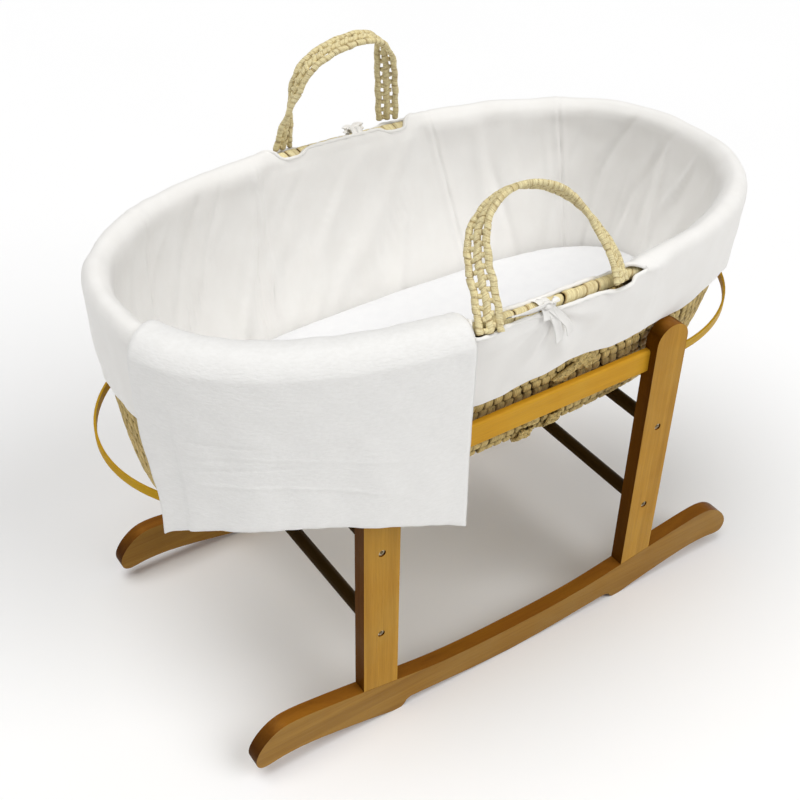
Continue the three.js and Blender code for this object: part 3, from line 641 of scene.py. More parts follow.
def braid(line, across, width=0.031, cord=0.0042, thick=0.0036, wrap=0.0068, rungs=0.0120):
    """Three wrapped cords side by side along a line, with rungs between them."""
    along = unit(np.gradient(line, axis=0))
    across = unit(across - along * (across * along).sum(-1, keepdims=True))
    face = np.cross(along, across)
    reach = width / 2 - cord
    run = np.concatenate([[0], np.cumsum(np.linalg.norm(np.diff(line, axis=0), axis=1))])
    parts = []
    for place, half in ((-1, cord), (0, cord * 1.05), (1, cord)):
        wave = 0.0006 * np.sin(run / 0.0142 * math.pi + place * 2.0)[:, None]
        middle = line + across * (place * reach + wave)
        slant = 0.5 * (1 - abs(place) * 1.6)
        parts.append(wrapped_cord(middle, across, face, half * 0.88, thick * 0.88, 2 * wrap,
                                  around=7, swell=0.0, wander=0.0))
        parts.append(wrapped_cord(middle, across, face, half, thick, wrap, slant=slant,
                                  around=9, swell=0.09, wander=0.20))
    for sign in (-1, 1):
        count = int(run[-1] / rungs)
        for k in range(count):
            s = (k + 0.5 + 0.22 * sign) * run[-1] / count
            spot, over, aside = (np.array([np.interp(s, run, v[:, i]) for i in range(3)])
                                 for v in (line, unit(across), unit(along)))
            tilt = aside * cord_random.normal(0, 0.0012)
            ends = np.linspace(spot + over * sign * 0.0010 - tilt,
                               spot + over * sign * (reach + 0.002) + tilt, 6)
            front = np.array([np.interp(s, run, face[:, i]) for i in range(3)])
            parts.append(wrapped_cord(ends, np.tile(aside, (6, 1)), np.tile(front, (6, 1)),
                                      0.0031, 0.0030, 0.007, around=7, swell=0.1))
    return parts


HINGE_Y, HINGE_Z = 0.237, RIM_Z - 0.002
HANDLES = {
    "front": {"sign": -1, "lean": 35, "foot": -0.010,
              "arch": [(-101, 5), (-94, 35), (-90, 68), (-78, 101), (-50, 124), (-12, 131),
                       (28, 118), (55, 90), (72, 52), (79, 24), (79, 5)],
              "twist": [15, 40, 45, 60, 80, 90, 90, 100, 118, 138, 146, 152]},
    "rear": {"sign": 1, "lean": 8, "foot": -0.008,
             "arch": [(-78, 5), (-73, 34), (-64, 74), (-48, 106), (-20, 123), (12, 130),
                      (38, 130), (59, 121), (70, 99), (77, 58), (84, 5)],
             "twist": [10, 25, 57, 85, 90, 90, 90, 90, 95, 130, 147, 150, 155]}}


print("a braid is rows of wrapped cord with rungs between them")

# %% Handles
for face, shape in HANDLES.items():
    sign, lean = shape["sign"], math.radians(shape["lean"])
    rise = np.array([0, -sign * math.sin(lean), math.cos(lean)])
    outward = np.array([0, sign * math.cos(lean), math.sin(lean)])
    hinge = np.array([0, sign * HINGE_Y, HINGE_Z])
    points = [hinge + np.array([x * 0.001, 0, 0]) + rise * h * 0.001 for x, h in shape["arch"]]
    for end in (0, -1):
        points[end] = points[end] + rise * shape["foot"] - outward * 0.001
    line = smooth_line(points, 260)
    stations = np.linspace(0, 1, len(line)) * (len(shape["twist"]) - 1)
    low = np.minimum(stations.astype(int), len(shape["twist"]) - 2)
    part = ease(stations - low, 0, 1)
    degrees = np.array(shape["twist"])
    turn = np.radians(degrees[low] * (1 - part) + degrees[low + 1] * part)
    across = np.cos(turn)[:, None] * np.array([1.0, 0, 0]) + np.sin(turn)[:, None] * outward
    handle = leaf_piece(f"handle_{face}_braid", braid(line, across))
    dress(handle, handle_palm)
    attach(handle, f"handle_{face}")
    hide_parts(f"handle_{face}")
    print(f"{face} handle:", len(handle.data.vertices), "points, top",
          round(max(v.co.z for v in handle.data.vertices), 3))

# %% [markdown]
# ## The straps on the wall
# Below each handle the same braid runs down the outside of the basket, under the skirt. The two legs
# cross just under the hem, and go on as one strap under the basket's edge, where a loop of braid
# hangs free of the base.

# %% Wall straps


def wall_point(sign, x, z, offset):
    """The point on a long side of the basket at an X and a height."""
    low, high = 0.0, math.pi
    for _ in range(40):
        middle = (low + high) / 2
        if on_basket(middle, z, offset)[0] > x:
            low = middle
        else:
            high = middle
    p = on_basket((low + high) / 2, z, offset)
    return np.array([p[0], sign * p[1], z])


def wall_line(sign, stops, count=60):
    return smooth_line([wall_point(sign, x, z, offset) for x, z, offset in stops], count)


for face, shape in HANDLES.items():
    sign = shape["sign"]
    left, right_leg = shape["arch"][0][0] / 1000, shape["arch"][-1][0] / 1000
    lines = [wall_line(sign, stops) for stops in (
        [(left, 0.570, 0.003), (left * 0.20, 0.515, 0.003), (0.074, 0.458, 0.0038),
         (0.100, 0.430, 0.003)],
        [(right_leg, 0.570, 0.003), (right_leg * 0.98, 0.515, 0.003), (0.074, 0.458, 0.0062),
         (0.046, 0.425, 0.003)],
        [(0.058, 0.438, 0.0032), (0.050, 0.385, 0.0032), (0.042, 0.335, 0.0032)])]
    under = [wall_point(sign, 0.040, 0.330, 0.005), wall_point(sign, 0.042, 0.312, 0.008),
             np.array([0.046, sign * 0.128, 0.2965]), np.array([0.066, sign * 0.120, 0.2985]),
             np.array([0.078, sign * 0.126, 0.3030]), wall_point(sign, 0.084, 0.318, 0.006),
             wall_point(sign, 0.084, 0.340, 0.003)]
    lines.append(smooth_line(under, 60))
    parts = []
    for line in lines:
        parts += braid(line, np.tile((1.0, 0, 0), (len(line), 1)), width=0.020, cord=0.0031,
                       thick=0.0026, wrap=0.007, rungs=0.011)
    straps = leaf_piece(f"wall_straps_{face}", parts)
    dress(straps, weave_palm)
    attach(straps, "basket")
    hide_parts(f"handle_strap_{face}")
print("wall straps on both long sides")

# %% [markdown]
# ## Cotton
# The liner is plain off-white cotton, the sheet is the same but whiter, and the blanket has a fine
# crinkle. All three are rough, a little sheeny cloth; they differ in colour and in how strong the
# crinkle is.

# %% Cotton materials


def cotton(name, colour, shade, threads, crinkle, amount, flatten, depth, sheen=0.25):
    """Cotton cloth: threads and crinkle are cells per metre, depth is the crinkle's in metres."""
    material, tree, shader = new_material(name)
    weave = grouped(tree, cloth_weave, {
        "Coordinates": object_place(tree), "Threads": threads, "Crinkle": crinkle,
        "Crinkle amount": amount, "Flatten": flatten})
    shaded = maths(tree, "MULTIPLY", weave.outputs["Shade"], 0.5)
    tree.links.new(blend_colour(tree, shaded, colour, shade), shader.inputs["Base Color"])
    shader.inputs["Roughness"].default_value = 0.92
    shader.inputs["Sheen Weight"].default_value = sheen
    shader.inputs["Sheen Roughness"].default_value = 0.5
    shader.inputs["Specular IOR Level"].default_value = 0.2
    bump(tree, shader, weave.outputs["Height"], 0.5, depth)
    return material


liner_cotton = cotton("liner_cotton", (0.90, 0.885, 0.855, 1), (0.865, 0.845, 0.81, 1),
                      1500, 34, 0.9, (1, 1, 0.7), 0.0012)
sheet_cotton = cotton("sheet_cotton", (0.80, 0.80, 0.805, 1), (0.765, 0.765, 0.775, 1),
                      1700, 60, 1.0, (1, 1, 1), 0.0010)
blanket_cotton = cotton("blanket_cotton", (0.88, 0.872, 0.852, 1), (0.82, 0.81, 0.785, 1),
                        1100, 150, 1.0, (1, 1, 3.2), 0.0013, 0.35)
print("cotton:", [m.name for m in (liner_cotton, sheet_cotton, blanket_cotton)])

# %% [markdown]
# ## The liner
# One piece of padded cotton goes up the inside wall, over the rim and down outside as a skirt. It is
# drawn as a profile, swept round the rim, then moved by soft folds: slanting ones where the padded
# inside has slack, puckers beside each seam, a wavy hem, and folds that spread from the knot of each
# ribbon. At each handle the cloth is cut away over the rim, and its two cut edges are casings.

# %% Soft noise
wave_random = np.random.default_rng(21)


def soft_waves(points, size, count=14, stretch=(1, 1, 1)):
    """Smooth noise from -1 to 1 as a sum of plane waves about as long as size."""
    direction = unit(wave_random.normal(size=(count, 3))) * np.array(stretch)
    rate = 2 * math.pi / (size * wave_random.uniform(0.7, 1.5, count))
    shift = wave_random.uniform(0, 2 * math.pi, count)
    return np.sin(points @ (direction.T * rate) + shift).sum(-1) / math.sqrt(count / 2) / 1.6


print("soft noise starts from seed 21")

# %% Liner corners
SKIRT, SKIRT_AT_STRAP, HEM_Z = 0.005, 0.009, 0.466
OPENING = 0.123    # half the length of each opening, where the liner is cut away over the rim
AROUND = 900
LEGS = {-1: (-0.101, 0.079), 1: (-0.078, 0.084)}    # where the handles' legs stand, front and rear
liner_angles, rim_run = even_angles(AROUND)
rim_points = on_basket(liner_angles, RIM_Z)
near_strap = 1 - ease(np.abs(rim_points[:, 0]), 0.128, 0.175)
skirt = SKIRT + (SKIRT_AT_STRAP - SKIRT) * near_strap
top = rim_height(rim_points[:, 0])
distance_round = np.arange(AROUND) / AROUND * rim_run
hem_wave = 0.006 * np.sin(distance_round * 21 + 0.7) + 0.004 * np.sin(distance_round * 47 + 2.0)
hem_drop = top - HEM_Z + hem_wave
foot_drop = top - (base_z + 0.018)
# Each corner of the profile is a drop below the rim and an offset from the basket's outside.
inside = [(foot_drop, -0.0150), (foot_drop - 0.06, -0.0160), (0.120, -0.0170), (0.060, -0.0190),
          (0.030, -0.0222), (0.017, -0.0238), (0.008, -0.0226), (0.002, -0.0180)]
over = [(-0.0015, -0.0115), (0.000, -0.0040)]
outside = [(0.006, skirt - 0.0035), (0.015, skirt - 0.0006), (0.030, skirt), (0.060, skirt + 0.0010),
           (hem_drop * 0.8, skirt + 0.0014), (hem_drop, skirt + 0.0010)]
CASING_IN, CASING_OUT = 7, len(inside) + len(over) + 1
at_side = np.abs(rim_points[:, 1]) > 0.1
in_opening = (np.abs(rim_points[:, 0]) < OPENING) & at_side
thin = (1 - ease(np.abs(rim_points[:, 0]), 0.114, 0.142)) * at_side


def hugging(padded, tight):
    """A profile point that goes from the padded roll to lying tight on the coil at an opening."""
    return tuple(a + (b - a) * thin for a, b in zip(padded, tight))


at_leg = np.zeros(AROUND)
for side, legs in LEGS.items():
    for leg_x in legs:
        near = np.exp(-((rim_points[:, 0] - leg_x) / 0.020) ** 4)
        at_leg += near * (rim_points[:, 1] * side > 0)
for k, tight in ((4, (0.030, -0.0205)),
                 (5, (0.017 + 0.003 * at_leg, -0.0198)),
                 (6, (0.0095 + 0.005 * at_leg, -0.0190)),
                 (7, (0.0036 + 0.0064 * at_leg, -0.0162 - 0.0022 * at_leg))):
    inside[k] = hugging(inside[k], tight)
outside[0] = hugging(outside[0], (0.0075, 0.0034 + 0.0062 * at_leg))
outside[1] = hugging(outside[1], (0.0120, 0.0040 + 0.0064 * at_leg))
corners = [np.stack(np.broadcast_arrays(d, o, top)[:2], -1) for d, o in inside + over + outside]
print("liner:", len(corners), "corners in the profile, rim", round(rim_run, 3), "m round")

# %% Liner profile
STEPS = 6


def curve_piece(a, b, c, d, t):
    """The Catmull-Rom curve from b to c, with a and d as the points before and after."""
    return 0.5 * (2 * b + (c - a) * t + (2 * a - 5 * b + 4 * c - d) * t ** 2
                  + (3 * b - a - 3 * c + d) * t ** 3)


profile = []
for k in range(len(corners) - 1):
    a, b = corners[max(0, k - 1)], corners[k]
    c, d = corners[k + 1], corners[min(len(corners) - 1, k + 2)]
    profile += [curve_piece(a, b, c, d, t) for t in np.arange(STEPS) / STEPS]
profile.append(corners[-1])
profile = np.array(profile)
# The two casing rows slide together at the ends of each opening, so that it closes to a point.
away = np.abs(rim_points[:, 0])
wide_leg = (rim_points[:, 0] < 0) & (rim_points[:, 1] < 0)    # stands near its opening's end
start = OPENING - np.where(wide_leg, 0.008, 0.024)
closing = np.where(away < OPENING, np.clip((away - start) / (OPENING - 0.002 - start), 0, 1),
                   1 - ease(away, OPENING, OPENING + 0.03)) * at_side
row_in, row_out = CASING_IN * STEPS, CASING_OUT * STEPS
meet = row_in + 0.68 * (row_out - row_in)
new_in = row_in + (meet - 0.8 - row_in) * closing
new_out = row_out + (meet + 0.8 - row_out) * closing
last = len(profile) - 1
rows = np.stack([np.interp(np.arange(last + 1), [0, row_in, row_out, last], [0, a, b, last])
                 for a, b in zip(new_in, new_out)], 1)
below = np.minimum(rows.astype(int), last - 1)
column = np.arange(AROUND)[None, :]
profile = (profile[below, column] * (1 - (rows - below))[..., None]
           + profile[below + 1, column] * (rows - below)[..., None])
level = rows / STEPS
print("liner profile:", profile.shape[0], "points by", AROUND, "round the rim")

# %% Liner folds
cloth = below_rim(liner_angles[None, :], profile[..., 0], profile[..., 1])
is_inside = 1 - ease(level, 4.0, 7.5)
is_outside = ease(level, CASING_OUT - 0.5, CASING_OUT + 1.5)
depth_in = np.clip(profile[..., 0] / foot_drop[None, :], 0, 1)
push = 0.0010 * soft_waves(cloth, 0.16) + 0.0006 * soft_waves(cloth, 0.05)
# Slanting folds in the padded inside: each is a long soft ridge across part of the wall.
for _ in range(150):
    where = wave_random.uniform(0, rim_run)
    lean = wave_random.normal(0.42, 0.28)
    width = wave_random.uniform(0.004, 0.012)
    start, length = wave_random.uniform(0.0, 0.5), wave_random.uniform(0.25, 0.7)
    rise = wave_random.uniform(-0.0034, 0.0040)
    offset = distance_round[None, :] - where - lean * (profile[..., 0] - 0.1)
    offset = (offset + rim_run / 2) % rim_run - rim_run / 2
    end = start + length
    window = ease(depth_in, start - 0.12, start + 0.1) * (1 - ease(depth_in, end, end + 0.25))
    push = push + rise * np.exp(-(offset / width) ** 2) * window * is_inside
print("folds push the cloth by up to", round(float(np.abs(push).max()) * 1000, 1), "mm")

# %% Liner seams
# Seams on both sides of each opening and two darts at each end, with small puckers beside them.
seam_places = []
for sign_y in (-1, 1):
    wrong_side = 9 * (rim_points[:, 1] * sign_y < 0)
    for x in (-0.330, -0.139, 0.139, 0.330):
        seam_places.append(int(np.argmin(np.abs(rim_points[:, 0] - x) + wrong_side)))
for place in seam_places:
    offset = (distance_round - distance_round[place] + rim_run / 2) % rim_run - rim_run / 2
    beside = np.abs(offset)
    groove = (-0.0010 * np.exp(-(offset / 0.0022) ** 2)
              + 0.0008 * np.exp(-((beside - 0.006) / 0.004) ** 2))
    ripple = (0.0009 * np.sin(profile[..., 0] / 0.0075) * np.exp(-(beside / 0.016))
              * (beside > 0.001))
    push = push + groove[None, :] * (0.35 + 0.65 * is_inside) + ripple * (0.4 + 0.6 * is_inside)
print("seams:", len(seam_places))

# %% Roll, skirt and knot folds
# The padded roll is soft and uneven, and the skirt hangs in shallow waves that grow to the hem.
roll = (1 - is_inside) * (1 - is_outside)
push = push + roll * (0.0006 * soft_waves(cloth, 0.09) + 0.0003 * soft_waves(cloth, 0.03))
hang = np.clip((profile[..., 0] - 0.02) / 0.1, 0, 1) * is_outside
push = push + hang * (0.0016 * (1 + soft_waves(cloth, 0.13, stretch=(1, 1, 0.15)))
                      + 0.0008 * soft_waves(cloth, 0.035, stretch=(1, 1, 0.3)))
KNOT_RAYS = ((-1.25, 0.0034), (-0.75, -0.0026), (-0.35, 0.0030), (0.1, -0.0024), (0.42, 0.0036),
             (0.85, -0.0024), (1.2, 0.0034))    # the bearing of each fold and how far it stands out
for face, side in (("front", -1), ("rear", 1)):
    bow_low, bow_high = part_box(f"ribbon_bow_{face}")
    knot = (bow_low.x + bow_high.x) / 2
    same_side = cloth[..., 1] * side > 0
    dx, dz = cloth[..., 0] - knot, (top[None, :] - 0.012) - cloth[..., 2]
    reach = np.hypot(dx, dz)
    bearing = np.arctan2(dx, np.maximum(dz, 0.001))
    for ray, strength in KNOT_RAYS:
        push = push + (strength * np.exp(-((bearing - ray) / 0.13) ** 2) * ease(reach, 0.006, 0.03)
                       * (1 - ease(reach, 0.05, 0.115)) * is_outside * same_side)
print("all folds push the cloth by up to", round(float(np.abs(push).max()) * 1000, 1), "mm")

# %% Liner mesh
plan = cloth.copy()
plan[..., 2] = 0
along = unit(np.roll(plan, -1, 1) - np.roll(plan, 1, 1))
down = unit(np.gradient(cloth, axis=0))
outward = unit(np.cross(down, along))
out_sign = np.sign((outward[-2] * unit(plan[-2])).sum(-1).mean())
cloth = cloth + outward * out_sign * push[..., None]
faces = []
for r in range(len(profile) - 1):
    cut_row = (CASING_IN * STEPS <= r) & (r < CASING_OUT * STEPS)
    for i in range(AROUND):
        j = (i + 1) % AROUND
        if cut_row and in_opening[i] and in_opening[j]:
            continue
        here, below = r * AROUND, (r + 1) * AROUND
        faces.append((here + i, here + j, below + j, below + i))
liner_piece = plain_mesh("cotton_liner", cloth.reshape(-1, 3), faces)


def drop_loose_points(piece):
    """Removes points that no face uses and turns all faces outwards."""
    made = bmesh.new()
    made.from_mesh(piece.data)
    bmesh.ops.delete(made, geom=[v for v in made.verts if not v.link_faces], context="VERTS")
    bmesh.ops.recalc_face_normals(made, faces=made.faces)
    made.to_mesh(piece.data)
    made.free()


def apply_modifiers(piece):
    """Turns a piece's modifiers into plain mesh."""
    bpy.context.view_layer.update()
    graph = bpy.context.evaluated_depsgraph_get()
    made = bpy.data.meshes.new_from_object(piece.evaluated_get(graph))
    piece.modifiers.clear()
    piece.data = made
    made.polygons.foreach_set("use_smooth", [True] * len(made.polygons))


drop_loose_points(liner_piece)
thick = liner_piece.modifiers.new("cloth", "SOLIDIFY")
thick.thickness, thick.offset = 0.0020, 0.0
apply_modifiers(liner_piece)
dress(liner_piece, liner_cotton)
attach(liner_piece, "basket")
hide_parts("liner")
print("liner:", len(liner_piece.data.vertices), "points")

# %% Casings and hem


TUBE_SIDES = 8


def end_caps(points, sides):
    """The two faces that close the first and the last ring of a tube."""
    return [tuple(range(sides))[::-1], tuple(range(len(points) - sides, len(points)))]


def tube(line, radius, closed=False):
    """Points and faces of a plain tube along a line, its ends closed."""
    along = along_of(line) if closed else unit(np.gradient(line, axis=0))
    side = unit(np.cross(along, (0.0, 0.0, 1.0)))
    over_it = np.cross(side, along)
    turn = np.linspace(0, 2 * math.pi, TUBE_SIDES, endpoint=False)
    across, upward = np.cos(turn)[:, None], np.sin(turn)[:, None]
    rings = [line[i] + radius * (across * side[i] + upward * over_it[i]) for i in range(len(line))]
    points, faces = ring_surface(rings + (rings[:1] if closed else []))
    if not closed:
        faces += end_caps(points, TUBE_SIDES)
    return points, faces


def joined(name, parts):
    """One mesh object from several lists of points and faces."""
    points, faces, first = [], [], 0
    for p, f in parts:
        points.append(p)
        faces += [tuple(i + first for i in face) for face in f]
        first += len(p)
    return plain_mesh(name, np.concatenate(points), faces)


parts = []
for sign in (-1, 1):
    chosen = np.where(in_opening & (rim_points[:, 1] * sign > 0))[0]
    for row in (CASING_IN * STEPS, CASING_OUT * STEPS):
        line = cloth[row, chosen]
        uneven = 1 + 0.18 * np.sin(np.arange(len(line)) * 0.9) * np.sin(np.arange(len(line)) * 0.23)
        points, faces = tube(line, 0.0026)
        rings = points.reshape(len(line), TUBE_SIDES, 3)
        rings = line[:, None, :] + (rings - line[:, None, :]) * uneven[:, None, None]
        parts.append((rings.reshape(-1, 3), faces))
casings = joined("liner_casings", parts)
dress(casings, liner_cotton)
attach(casings, "basket")
hem = joined("liner_hem", [tube(cloth[-1] + np.array([0, 0, 0.001]), 0.0017, closed=True)])
dress(hem, liner_cotton)
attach(hem, "basket")
print("casings:", len(parts), "tubes; hem", len(hem.data.vertices), "points")

# %% [markdown]
# ## Ribbon bows
# A narrow cotton ribbon ties the two casings over the rim at each handle. The knot is a small pinched
# band round the ribbon, with loops and tails of flat ribbon that twist as they fall.

# %% Ribbon builder


def ribbon(points, width_dirs, width, count=40):
    """A flat, slightly cupped ribbon through points, its width following width_dirs."""
    line = smooth_line(points, count)
    place = np.linspace(0, len(width_dirs) - 1, count)
    low = np.minimum(place.astype(int), len(width_dirs) - 2)
    part = (place - low)[:, None]
    dirs = np.asarray(width_dirs, float)
    across = unit(dirs[low] * (1 - part) + dirs[low + 1] * part)
    along = unit(np.gradient(line, axis=0))
    across = unit(across - along * (across * along).sum(-1, keepdims=True))
    face = np.cross(along, across)
    cols = np.linspace(-1, 1, 7)
    rings = []
    for sign in (1, -1):
        for c in cols[::sign]:
            cup = 0.0010 * (c * c - 0.4) + sign * 0.00045
            rings.append(line + across * c * width / 2 + face * cup)
    points, faces = ring_surface(list(np.stack(rings, 1)))
    return points, faces + end_caps(points, len(rings))


print("ribbons are cupped by a millimetre")

# %% Ribbon bows
# For each face: the knot's height above the coil, the ribbon's width, the loops as (way, reach,
# lift, swing), and the tails as (swing, drop, twist).
BOWS = {"front": {"sign": -1, "lift": 0.0030, "tape": 0.0110,
                  "loops": ((-1, 0.044, 0.003, 0.003), (1, 0.010, 0.002, 0.006)),
                  "tails": ((0.016, 0.050, 0.6), (0.031, 0.044, -0.5))},
        "rear": {"sign": 1, "lift": -0.0010, "tape": 0.0080,
                 "loops": ((-1, 0.011, 0.002, 0.003), (1, 0.013, 0.002, 0.004)),
                 "tails": ((0.006, 0.040, 0.5), (-0.012, 0.036, -0.5))}}
RIBBON_WIDTH, KNOT_SIDES = 0.010, 14
for face, shape in BOWS.items():
    sign, tape = shape["sign"], shape["tape"]
    low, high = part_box(f"ribbon_bow_{face}")
    x = (low.x + high.x) / 2 + sign * 0.010
    y_top = sign * (RIM_WIDTH - COIL_RADIUS)
    z_top = RIM_Z - COIL_DROP + COIL_RADIUS
    out = sign * 0.0125
    knot = np.array([x, y_top + out * 0.75, z_top + shape["lift"]])
    parts = []
    over_rim = [(x - 0.003, y_top - sign * 0.0105, z_top - 0.010),
                (x - 0.002, y_top - sign * 0.0075, z_top),
                (x, y_top, z_top + 0.0032), (x, y_top + out * 0.8, z_top),
                (x, y_top + out * 1.25, z_top - 0.012)]
    for shift in (-0.004, 0.004):
        parts.append(ribbon([np.array(p) + (shift, 0, 0) for p in over_rim],
                            [(1, 0.1 * sign, 0)] * 2, 0.0075))
    for way, reach, lift, swing in shape["loops"]:
        loop = [knot, knot + (way * reach * 0.45, out * 0.25, lift),
                knot + (way * reach, out * 0.1, lift * 0.9),
                knot + (way * reach * 1.02, -out * 0.15, lift * 0.3),
                knot + (way * reach * 0.5, -out * 0.05, -swing * 0.2), knot]
        parts.append(ribbon(loop, [(0, 0.45 * sign, 0.9), (0.2, 0.6 * sign, 0.8),
                                   (0.1, 0.9 * sign, 0.5), (0, 0.6 * sign, 0.8),
                                   (0, 0.45 * sign, 0.9)], tape))
    for swing, drop, twist in shape["tails"]:
        tail = [knot, knot + (swing * 0.35, out * 0.45, -drop * 0.25),
                knot + (swing * 0.8, out * 0.60, -drop * 0.65), knot + (swing, out * 0.55, -drop)]
        parts.append(ribbon(tail, [(0.9, 0, 0.4), (1, 0.2 * sign * twist, 0.3),
                                   (1, 0.5 * sign * twist, 0.1), (1, 0.1, 0.2)], tape * 0.85))
    turn = np.linspace(0, 2 * math.pi, KNOT_SIDES, endpoint=False)
    rings = []
    for t in np.linspace(-1, 1, 9):
        pinch = 0.0052 * (1 - 0.35 * t * t) * (1 + 0.08 * np.sin(turn * 3 + t * 3))
        rings.append(knot + np.stack([np.full(KNOT_SIDES, t * 0.0048), np.cos(turn) * pinch,
                                      np.sin(turn) * pinch * 0.9], -1))
    points, faces = ring_surface(rings)
    parts.append((points, faces + end_caps(points, KNOT_SIDES)))
    bow = joined(f"ribbon_{face}", parts)
    dress(bow, liner_cotton)
    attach(bow, "basket")
    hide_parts(f"ribbon_bow_{face}")
    area = sum(p.area for p in bow.data.polygons) / 2
    length = area / RIBBON_WIDTH
    print(f"{face} ribbon: {length:.2f} m of it")

# %% [markdown]
# ## The mattress
# A thin foam pad in a fitted sheet, cut to the inside of the basket. Cloth under slight pressure
# gives a padded piece its own small dips and crowns, so the pad is remeshed, blown up, and kept
# within a millimetre and a half of where it started.

# %% Mattress pad
mattress_low, mattress_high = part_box("mattress")
height = mattress_high.z - mattress_low.z
CROWN = 0.004    # the made-up pad stands a little proud of the plain one
height += CROWN
INSIDE = -0.0200    # the liner's inner face, from the outside of the basket
PAD_SIDES = 160
# Each ring of the pad: its share of the height, its inset from the liner, its share of the plan.
PAD_RINGS = [(0.03, 0.024, 0.55), (0.03, 0.024, 1), (0.10, 0.008, 1), (0.25, 0.003, 1),
             (0.50, 0.0, 1), (0.74, 0.0, 1), (0.84, 0.0015, 1), (0.90, 0.005, 1),
             (0.94, 0.012, 1), (0.96, 0.026, 1), (0.97, 0.026, 0.75), (0.975, 0.026, 0.4)]
rings = []
for level_up, inset, share in PAD_RINGS:
    z = mattress_low.z + level_up * height
    rings.append(on_basket(even_angles(PAD_SIDES, z)[0], z, INSIDE - inset) * (share, share, 1))
points, faces = ring_surface(rings, close_last=True)
faces.append(tuple(range(PAD_SIDES))[::-1])
pad = plain_mesh("mattress_pad", points, faces)
drop_loose_points(pad)
print("pad:", len(PAD_RINGS), "rings")

# %% Mattress cloth
PUFF_VOXEL, PUFF_CAP = 0.006, 0.0015


def puff(piece, voxel, cap, frames=20, pressure=4.0):
    """Blows a closed mesh up as cloth, with no point further than cap from its start."""
    remesh = piece.modifiers.new("even mesh", "REMESH")
    remesh.mode, remesh.voxel_size = "VOXEL", voxel
    apply_modifiers(piece)
    start = np.array([v.co for v in piece.data.vertices])
    cloth_sim = piece.modifiers.new("cloth", "CLOTH")
    settings = cloth_sim.settings
    settings.quality, settings.mass = 4, 0.2
    settings.use_pressure, settings.uniform_pressure_force = True, pressure
    settings.tension_stiffness = settings.compression_stiffness = 12
    settings.bending_stiffness = 0.4
    settings.effector_weights.gravity = 0
    cloth_sim.point_cache.frame_start, cloth_sim.point_cache.frame_end = 1, frames
    for step in range(1, frames + 1):
        bpy.context.scene.frame_set(step)
    apply_modifiers(piece)
    bpy.context.scene.frame_set(1)
    end = np.array([v.co for v in piece.data.vertices])
    moved = end - start
    size = np.linalg.norm(moved, axis=1, keepdims=True)
    end = start + moved * np.minimum(1, cap / np.maximum(size, 1e-9))
    piece.data.vertices.foreach_set("co", end.ravel())
    return float(size.max())


swelled = puff(pad, PUFF_VOXEL, PUFF_CAP)
print("mattress swelled by up to", round(swelled * 1000, 1), "mm before the cap")
points = np.array([v.co for v in pad.data.vertices])
dips = 0.0009 * soft_waves(points, 0.15) + 0.0004 * soft_waves(points, 0.045)
points[:, 2] += dips * (points[:, 2] > mattress_low.z + height * 0.8)
points[:, 2] = np.minimum(points[:, 2], mattress_high.z + CROWN + 0.001)
pad.data.vertices.foreach_set("co", points.ravel())
pad.modifiers.new("finer", "SUBSURF").render_levels = 1
apply_modifiers(pad)
dress(pad, sheet_cotton)
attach(pad, "mattress")
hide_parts("mattress")
print("mattress:", len(pad.data.vertices), "points")

# %% [markdown]
# ## The blanket
# A cotton blanket, folded into a pad, hangs over the rim by the head. It is drawn as the path of its
# middle layer: up from inside, over the roll and straight down outside. Its faces are that path moved
# out and in by half its thickness, which runs out to a rounded fold at every edge. Shallow waves, the
# ridge of an inner hem, and a few crease lines are added to the outer face.

# %% Blanket path
START, END = -0.4095, -0.121    # the blanket's side edges along X
OFFSET = 0.0175    # how far the hanging part stands off the basket
COLUMNS, ROWS = 150, 150


def blanket_path(top_z, bottom_z):
    """Offsets from the rim and heights, from the end inside the basket to the hem outside."""
    return np.array([(-0.044, top_z - 0.050), (-0.040, top_z - 0.032), (-0.036, top_z - 0.016),
                     (-0.027, top_z + 0.001), (-0.011, top_z + 0.0065), (0.004, top_z + 0.004),
                     (OFFSET - 0.002, top_z - 0.010), (OFFSET, top_z - 0.028),
                     (OFFSET, (top_z + bottom_z) / 2), (OFFSET, bottom_z)])


middle_rows = []
for c in range(COLUMNS + 1):
    t = c / COLUMNS
    x = START + (END - START) * t ** 1.5
    top_z = float(rim_height(x))
    bottom_z = (348 + 142 * t - 167 * t * t) * 0.001
    here = wall_point(-1, x, RIM_Z, 0)
    after = wall_point(-1, x + 0.001, RIM_Z, 0)
    slope = unit((after - here)[:2])
    at_rim = wall_point(-1, x - 0.009 * (1 - t) ** 3, RIM_Z, 0)    # wider where it lies on the rim
    path = blanket_path(top_z, bottom_z)
    spine = smooth_line(np.column_stack([path, np.zeros(len(path))]), ROWS + 1)
    place = at_rim + (here - at_rim) * ease(np.linspace(0, 1, ROWS + 1), 0.45, 0.95)[:, None]
    middle_rows.append(np.column_stack([place[:, 0] + slope[1] * spine[:, 0],
                                        place[:, 1] - slope[0] * spine[:, 0], spine[:, 1]]))
middle = np.array(middle_rows)
print("blanket path:", middle.shape[0], "by", middle.shape[1], "points")

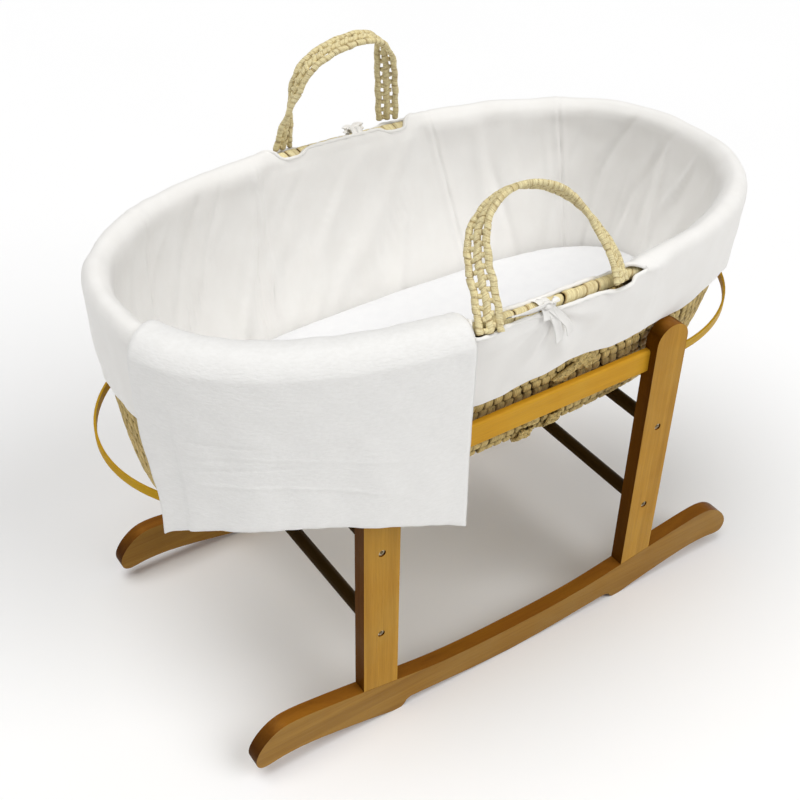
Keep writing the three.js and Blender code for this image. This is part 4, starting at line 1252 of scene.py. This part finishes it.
# %% Blanket edges and waves
BLANKET_HALF = 0.003    # half its thickness
v = np.linspace(0, 1, ROWS + 1)[None, :]
width_run = np.linalg.norm(middle[1:, 60] - middle[:-1, 60], axis=1)
from_left = np.concatenate([[0], np.cumsum(width_run)])[:, None]
from_right = from_left[-1] - from_left
length_run = np.linalg.norm(middle[COLUMNS // 2, 1:] - middle[COLUMNS // 2, :-1], axis=1)
from_top = np.concatenate([[0], np.cumsum(length_run)])[None, :]
from_hem = from_top[0, -1] - from_top
side_edge = np.minimum(np.minimum(from_left, from_right), np.minimum(from_hem, from_top))
rounding = np.sqrt(np.clip(1 - (1 - np.clip(side_edge / 0.004, 0, 1)) ** 2, 0.0, 1))
outward = unit(np.cross(np.gradient(middle, axis=0), np.gradient(middle, axis=1)))
outward = outward * np.sign((outward[:, -20] * np.array([0, -1.0, 0])).sum(-1).mean())
hanging = ease(v, 0.42, 0.75)
waves = hanging * (0.0014 * np.sin(from_left * 44 + 1.0 + 1.2 * v)
                   + 0.0005 * np.sin(from_left * 96 + 2 * v))
waves = waves + hanging * 0.0010 * soft_waves(middle, 0.09, stretch=(1, 1, 0.5))
waves = waves + 0.0004 * soft_waves(middle, 0.035)
puckers = 0.0003 * np.sin(from_left * 260) * np.exp(-from_hem / 0.010)
inner_hem = 0.0016 * (ease(from_left, 0.047, 0.050) - ease(from_left, 0.056, 0.10)) * hanging
# Each crease: its height above the hem, its depth, and where it starts and ends from the left.
CREASES = ((0.078, -0.0008, 0.05, 0.22), (0.055, 0.0009, 0.06, 0.30), (0.105, 0.0006, 0.10, 0.33),
           (0.128, -0.0009, 0.045, 0.17), (0.112, -0.0007, 0.05, 0.15))
creases = 0
for k, (at_hem, depth, low_x, high_x) in enumerate(CREASES):
    across_it = from_hem - at_hem - 0.012 * np.sin(from_left * 9 + k)
    creases = creases + (depth * np.exp(-(across_it / 0.0016) ** 2)
                         * ease(from_left, low_x, low_x + 0.03)
                         * (1 - ease(from_left, high_x - 0.05, high_x)))
layers = -0.0011 * np.exp(-((side_edge - 0.0030) / 0.0012) ** 2)
drift = waves + puckers
detail = (inner_hem + creases + layers) * rounding
outer = middle + outward * (drift + BLANKET_HALF * rounding + detail)[..., None]
inner = middle + outward * (drift - BLANKET_HALF * rounding)[..., None]
print("blanket waves reach", round(float(np.abs(drift).max()) * 1000, 1), "mm")

# %% Blanket mesh
n_rows, n_cols = COLUMNS + 1, ROWS + 1
shift = n_rows * n_cols
faces = []
for r in range(COLUMNS):
    for c in range(ROWS):
        a, b = r * n_cols + c, (r + 1) * n_cols + c
        faces.append((a, b, b + 1, a + 1))
        faces.append((a + shift, a + 1 + shift, b + 1 + shift, b + shift))
points = np.concatenate([outer.reshape(-1, 3), inner.reshape(-1, 3)])
blanket_piece = plain_mesh("cotton_blanket", points, faces)


def weld_points(piece, distance):
    """Joins points closer than a distance and counts the edges that stay open."""
    made = bmesh.new()
    made.from_mesh(piece.data)
    bmesh.ops.remove_doubles(made, verts=made.verts, dist=distance)
    bmesh.ops.recalc_face_normals(made, faces=made.faces)
    open_edges = sum(e.is_boundary for e in made.edges)
    made.to_mesh(piece.data)
    made.free()
    return open_edges


print("blanket: open edges", weld_points(blanket_piece, 0.00012))
dress(blanket_piece, blanket_cotton)
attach(blanket_piece, "blanket")
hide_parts("blanket")

# %% [markdown]
# ## Floor finish
# The floor is a pale, very slightly mottled studio sheet, so that the object's soft shadow is all
# that shows on it.

# %% Floor material
pale, tree, shader = new_material("studio_pale")
tree.links.new(blend_colour(tree, noise(tree, object_place(tree), 2.0, 2.0), (0.95, 0.95, 0.95, 1),
                            (0.97, 0.97, 0.97, 1)), shader.inputs["Base Color"])
shader.inputs["Roughness"].default_value = 0.9
shader.inputs["Specular IOR Level"].default_value = 0.1
dress(floor, pale)
print("floor:", pale.name)
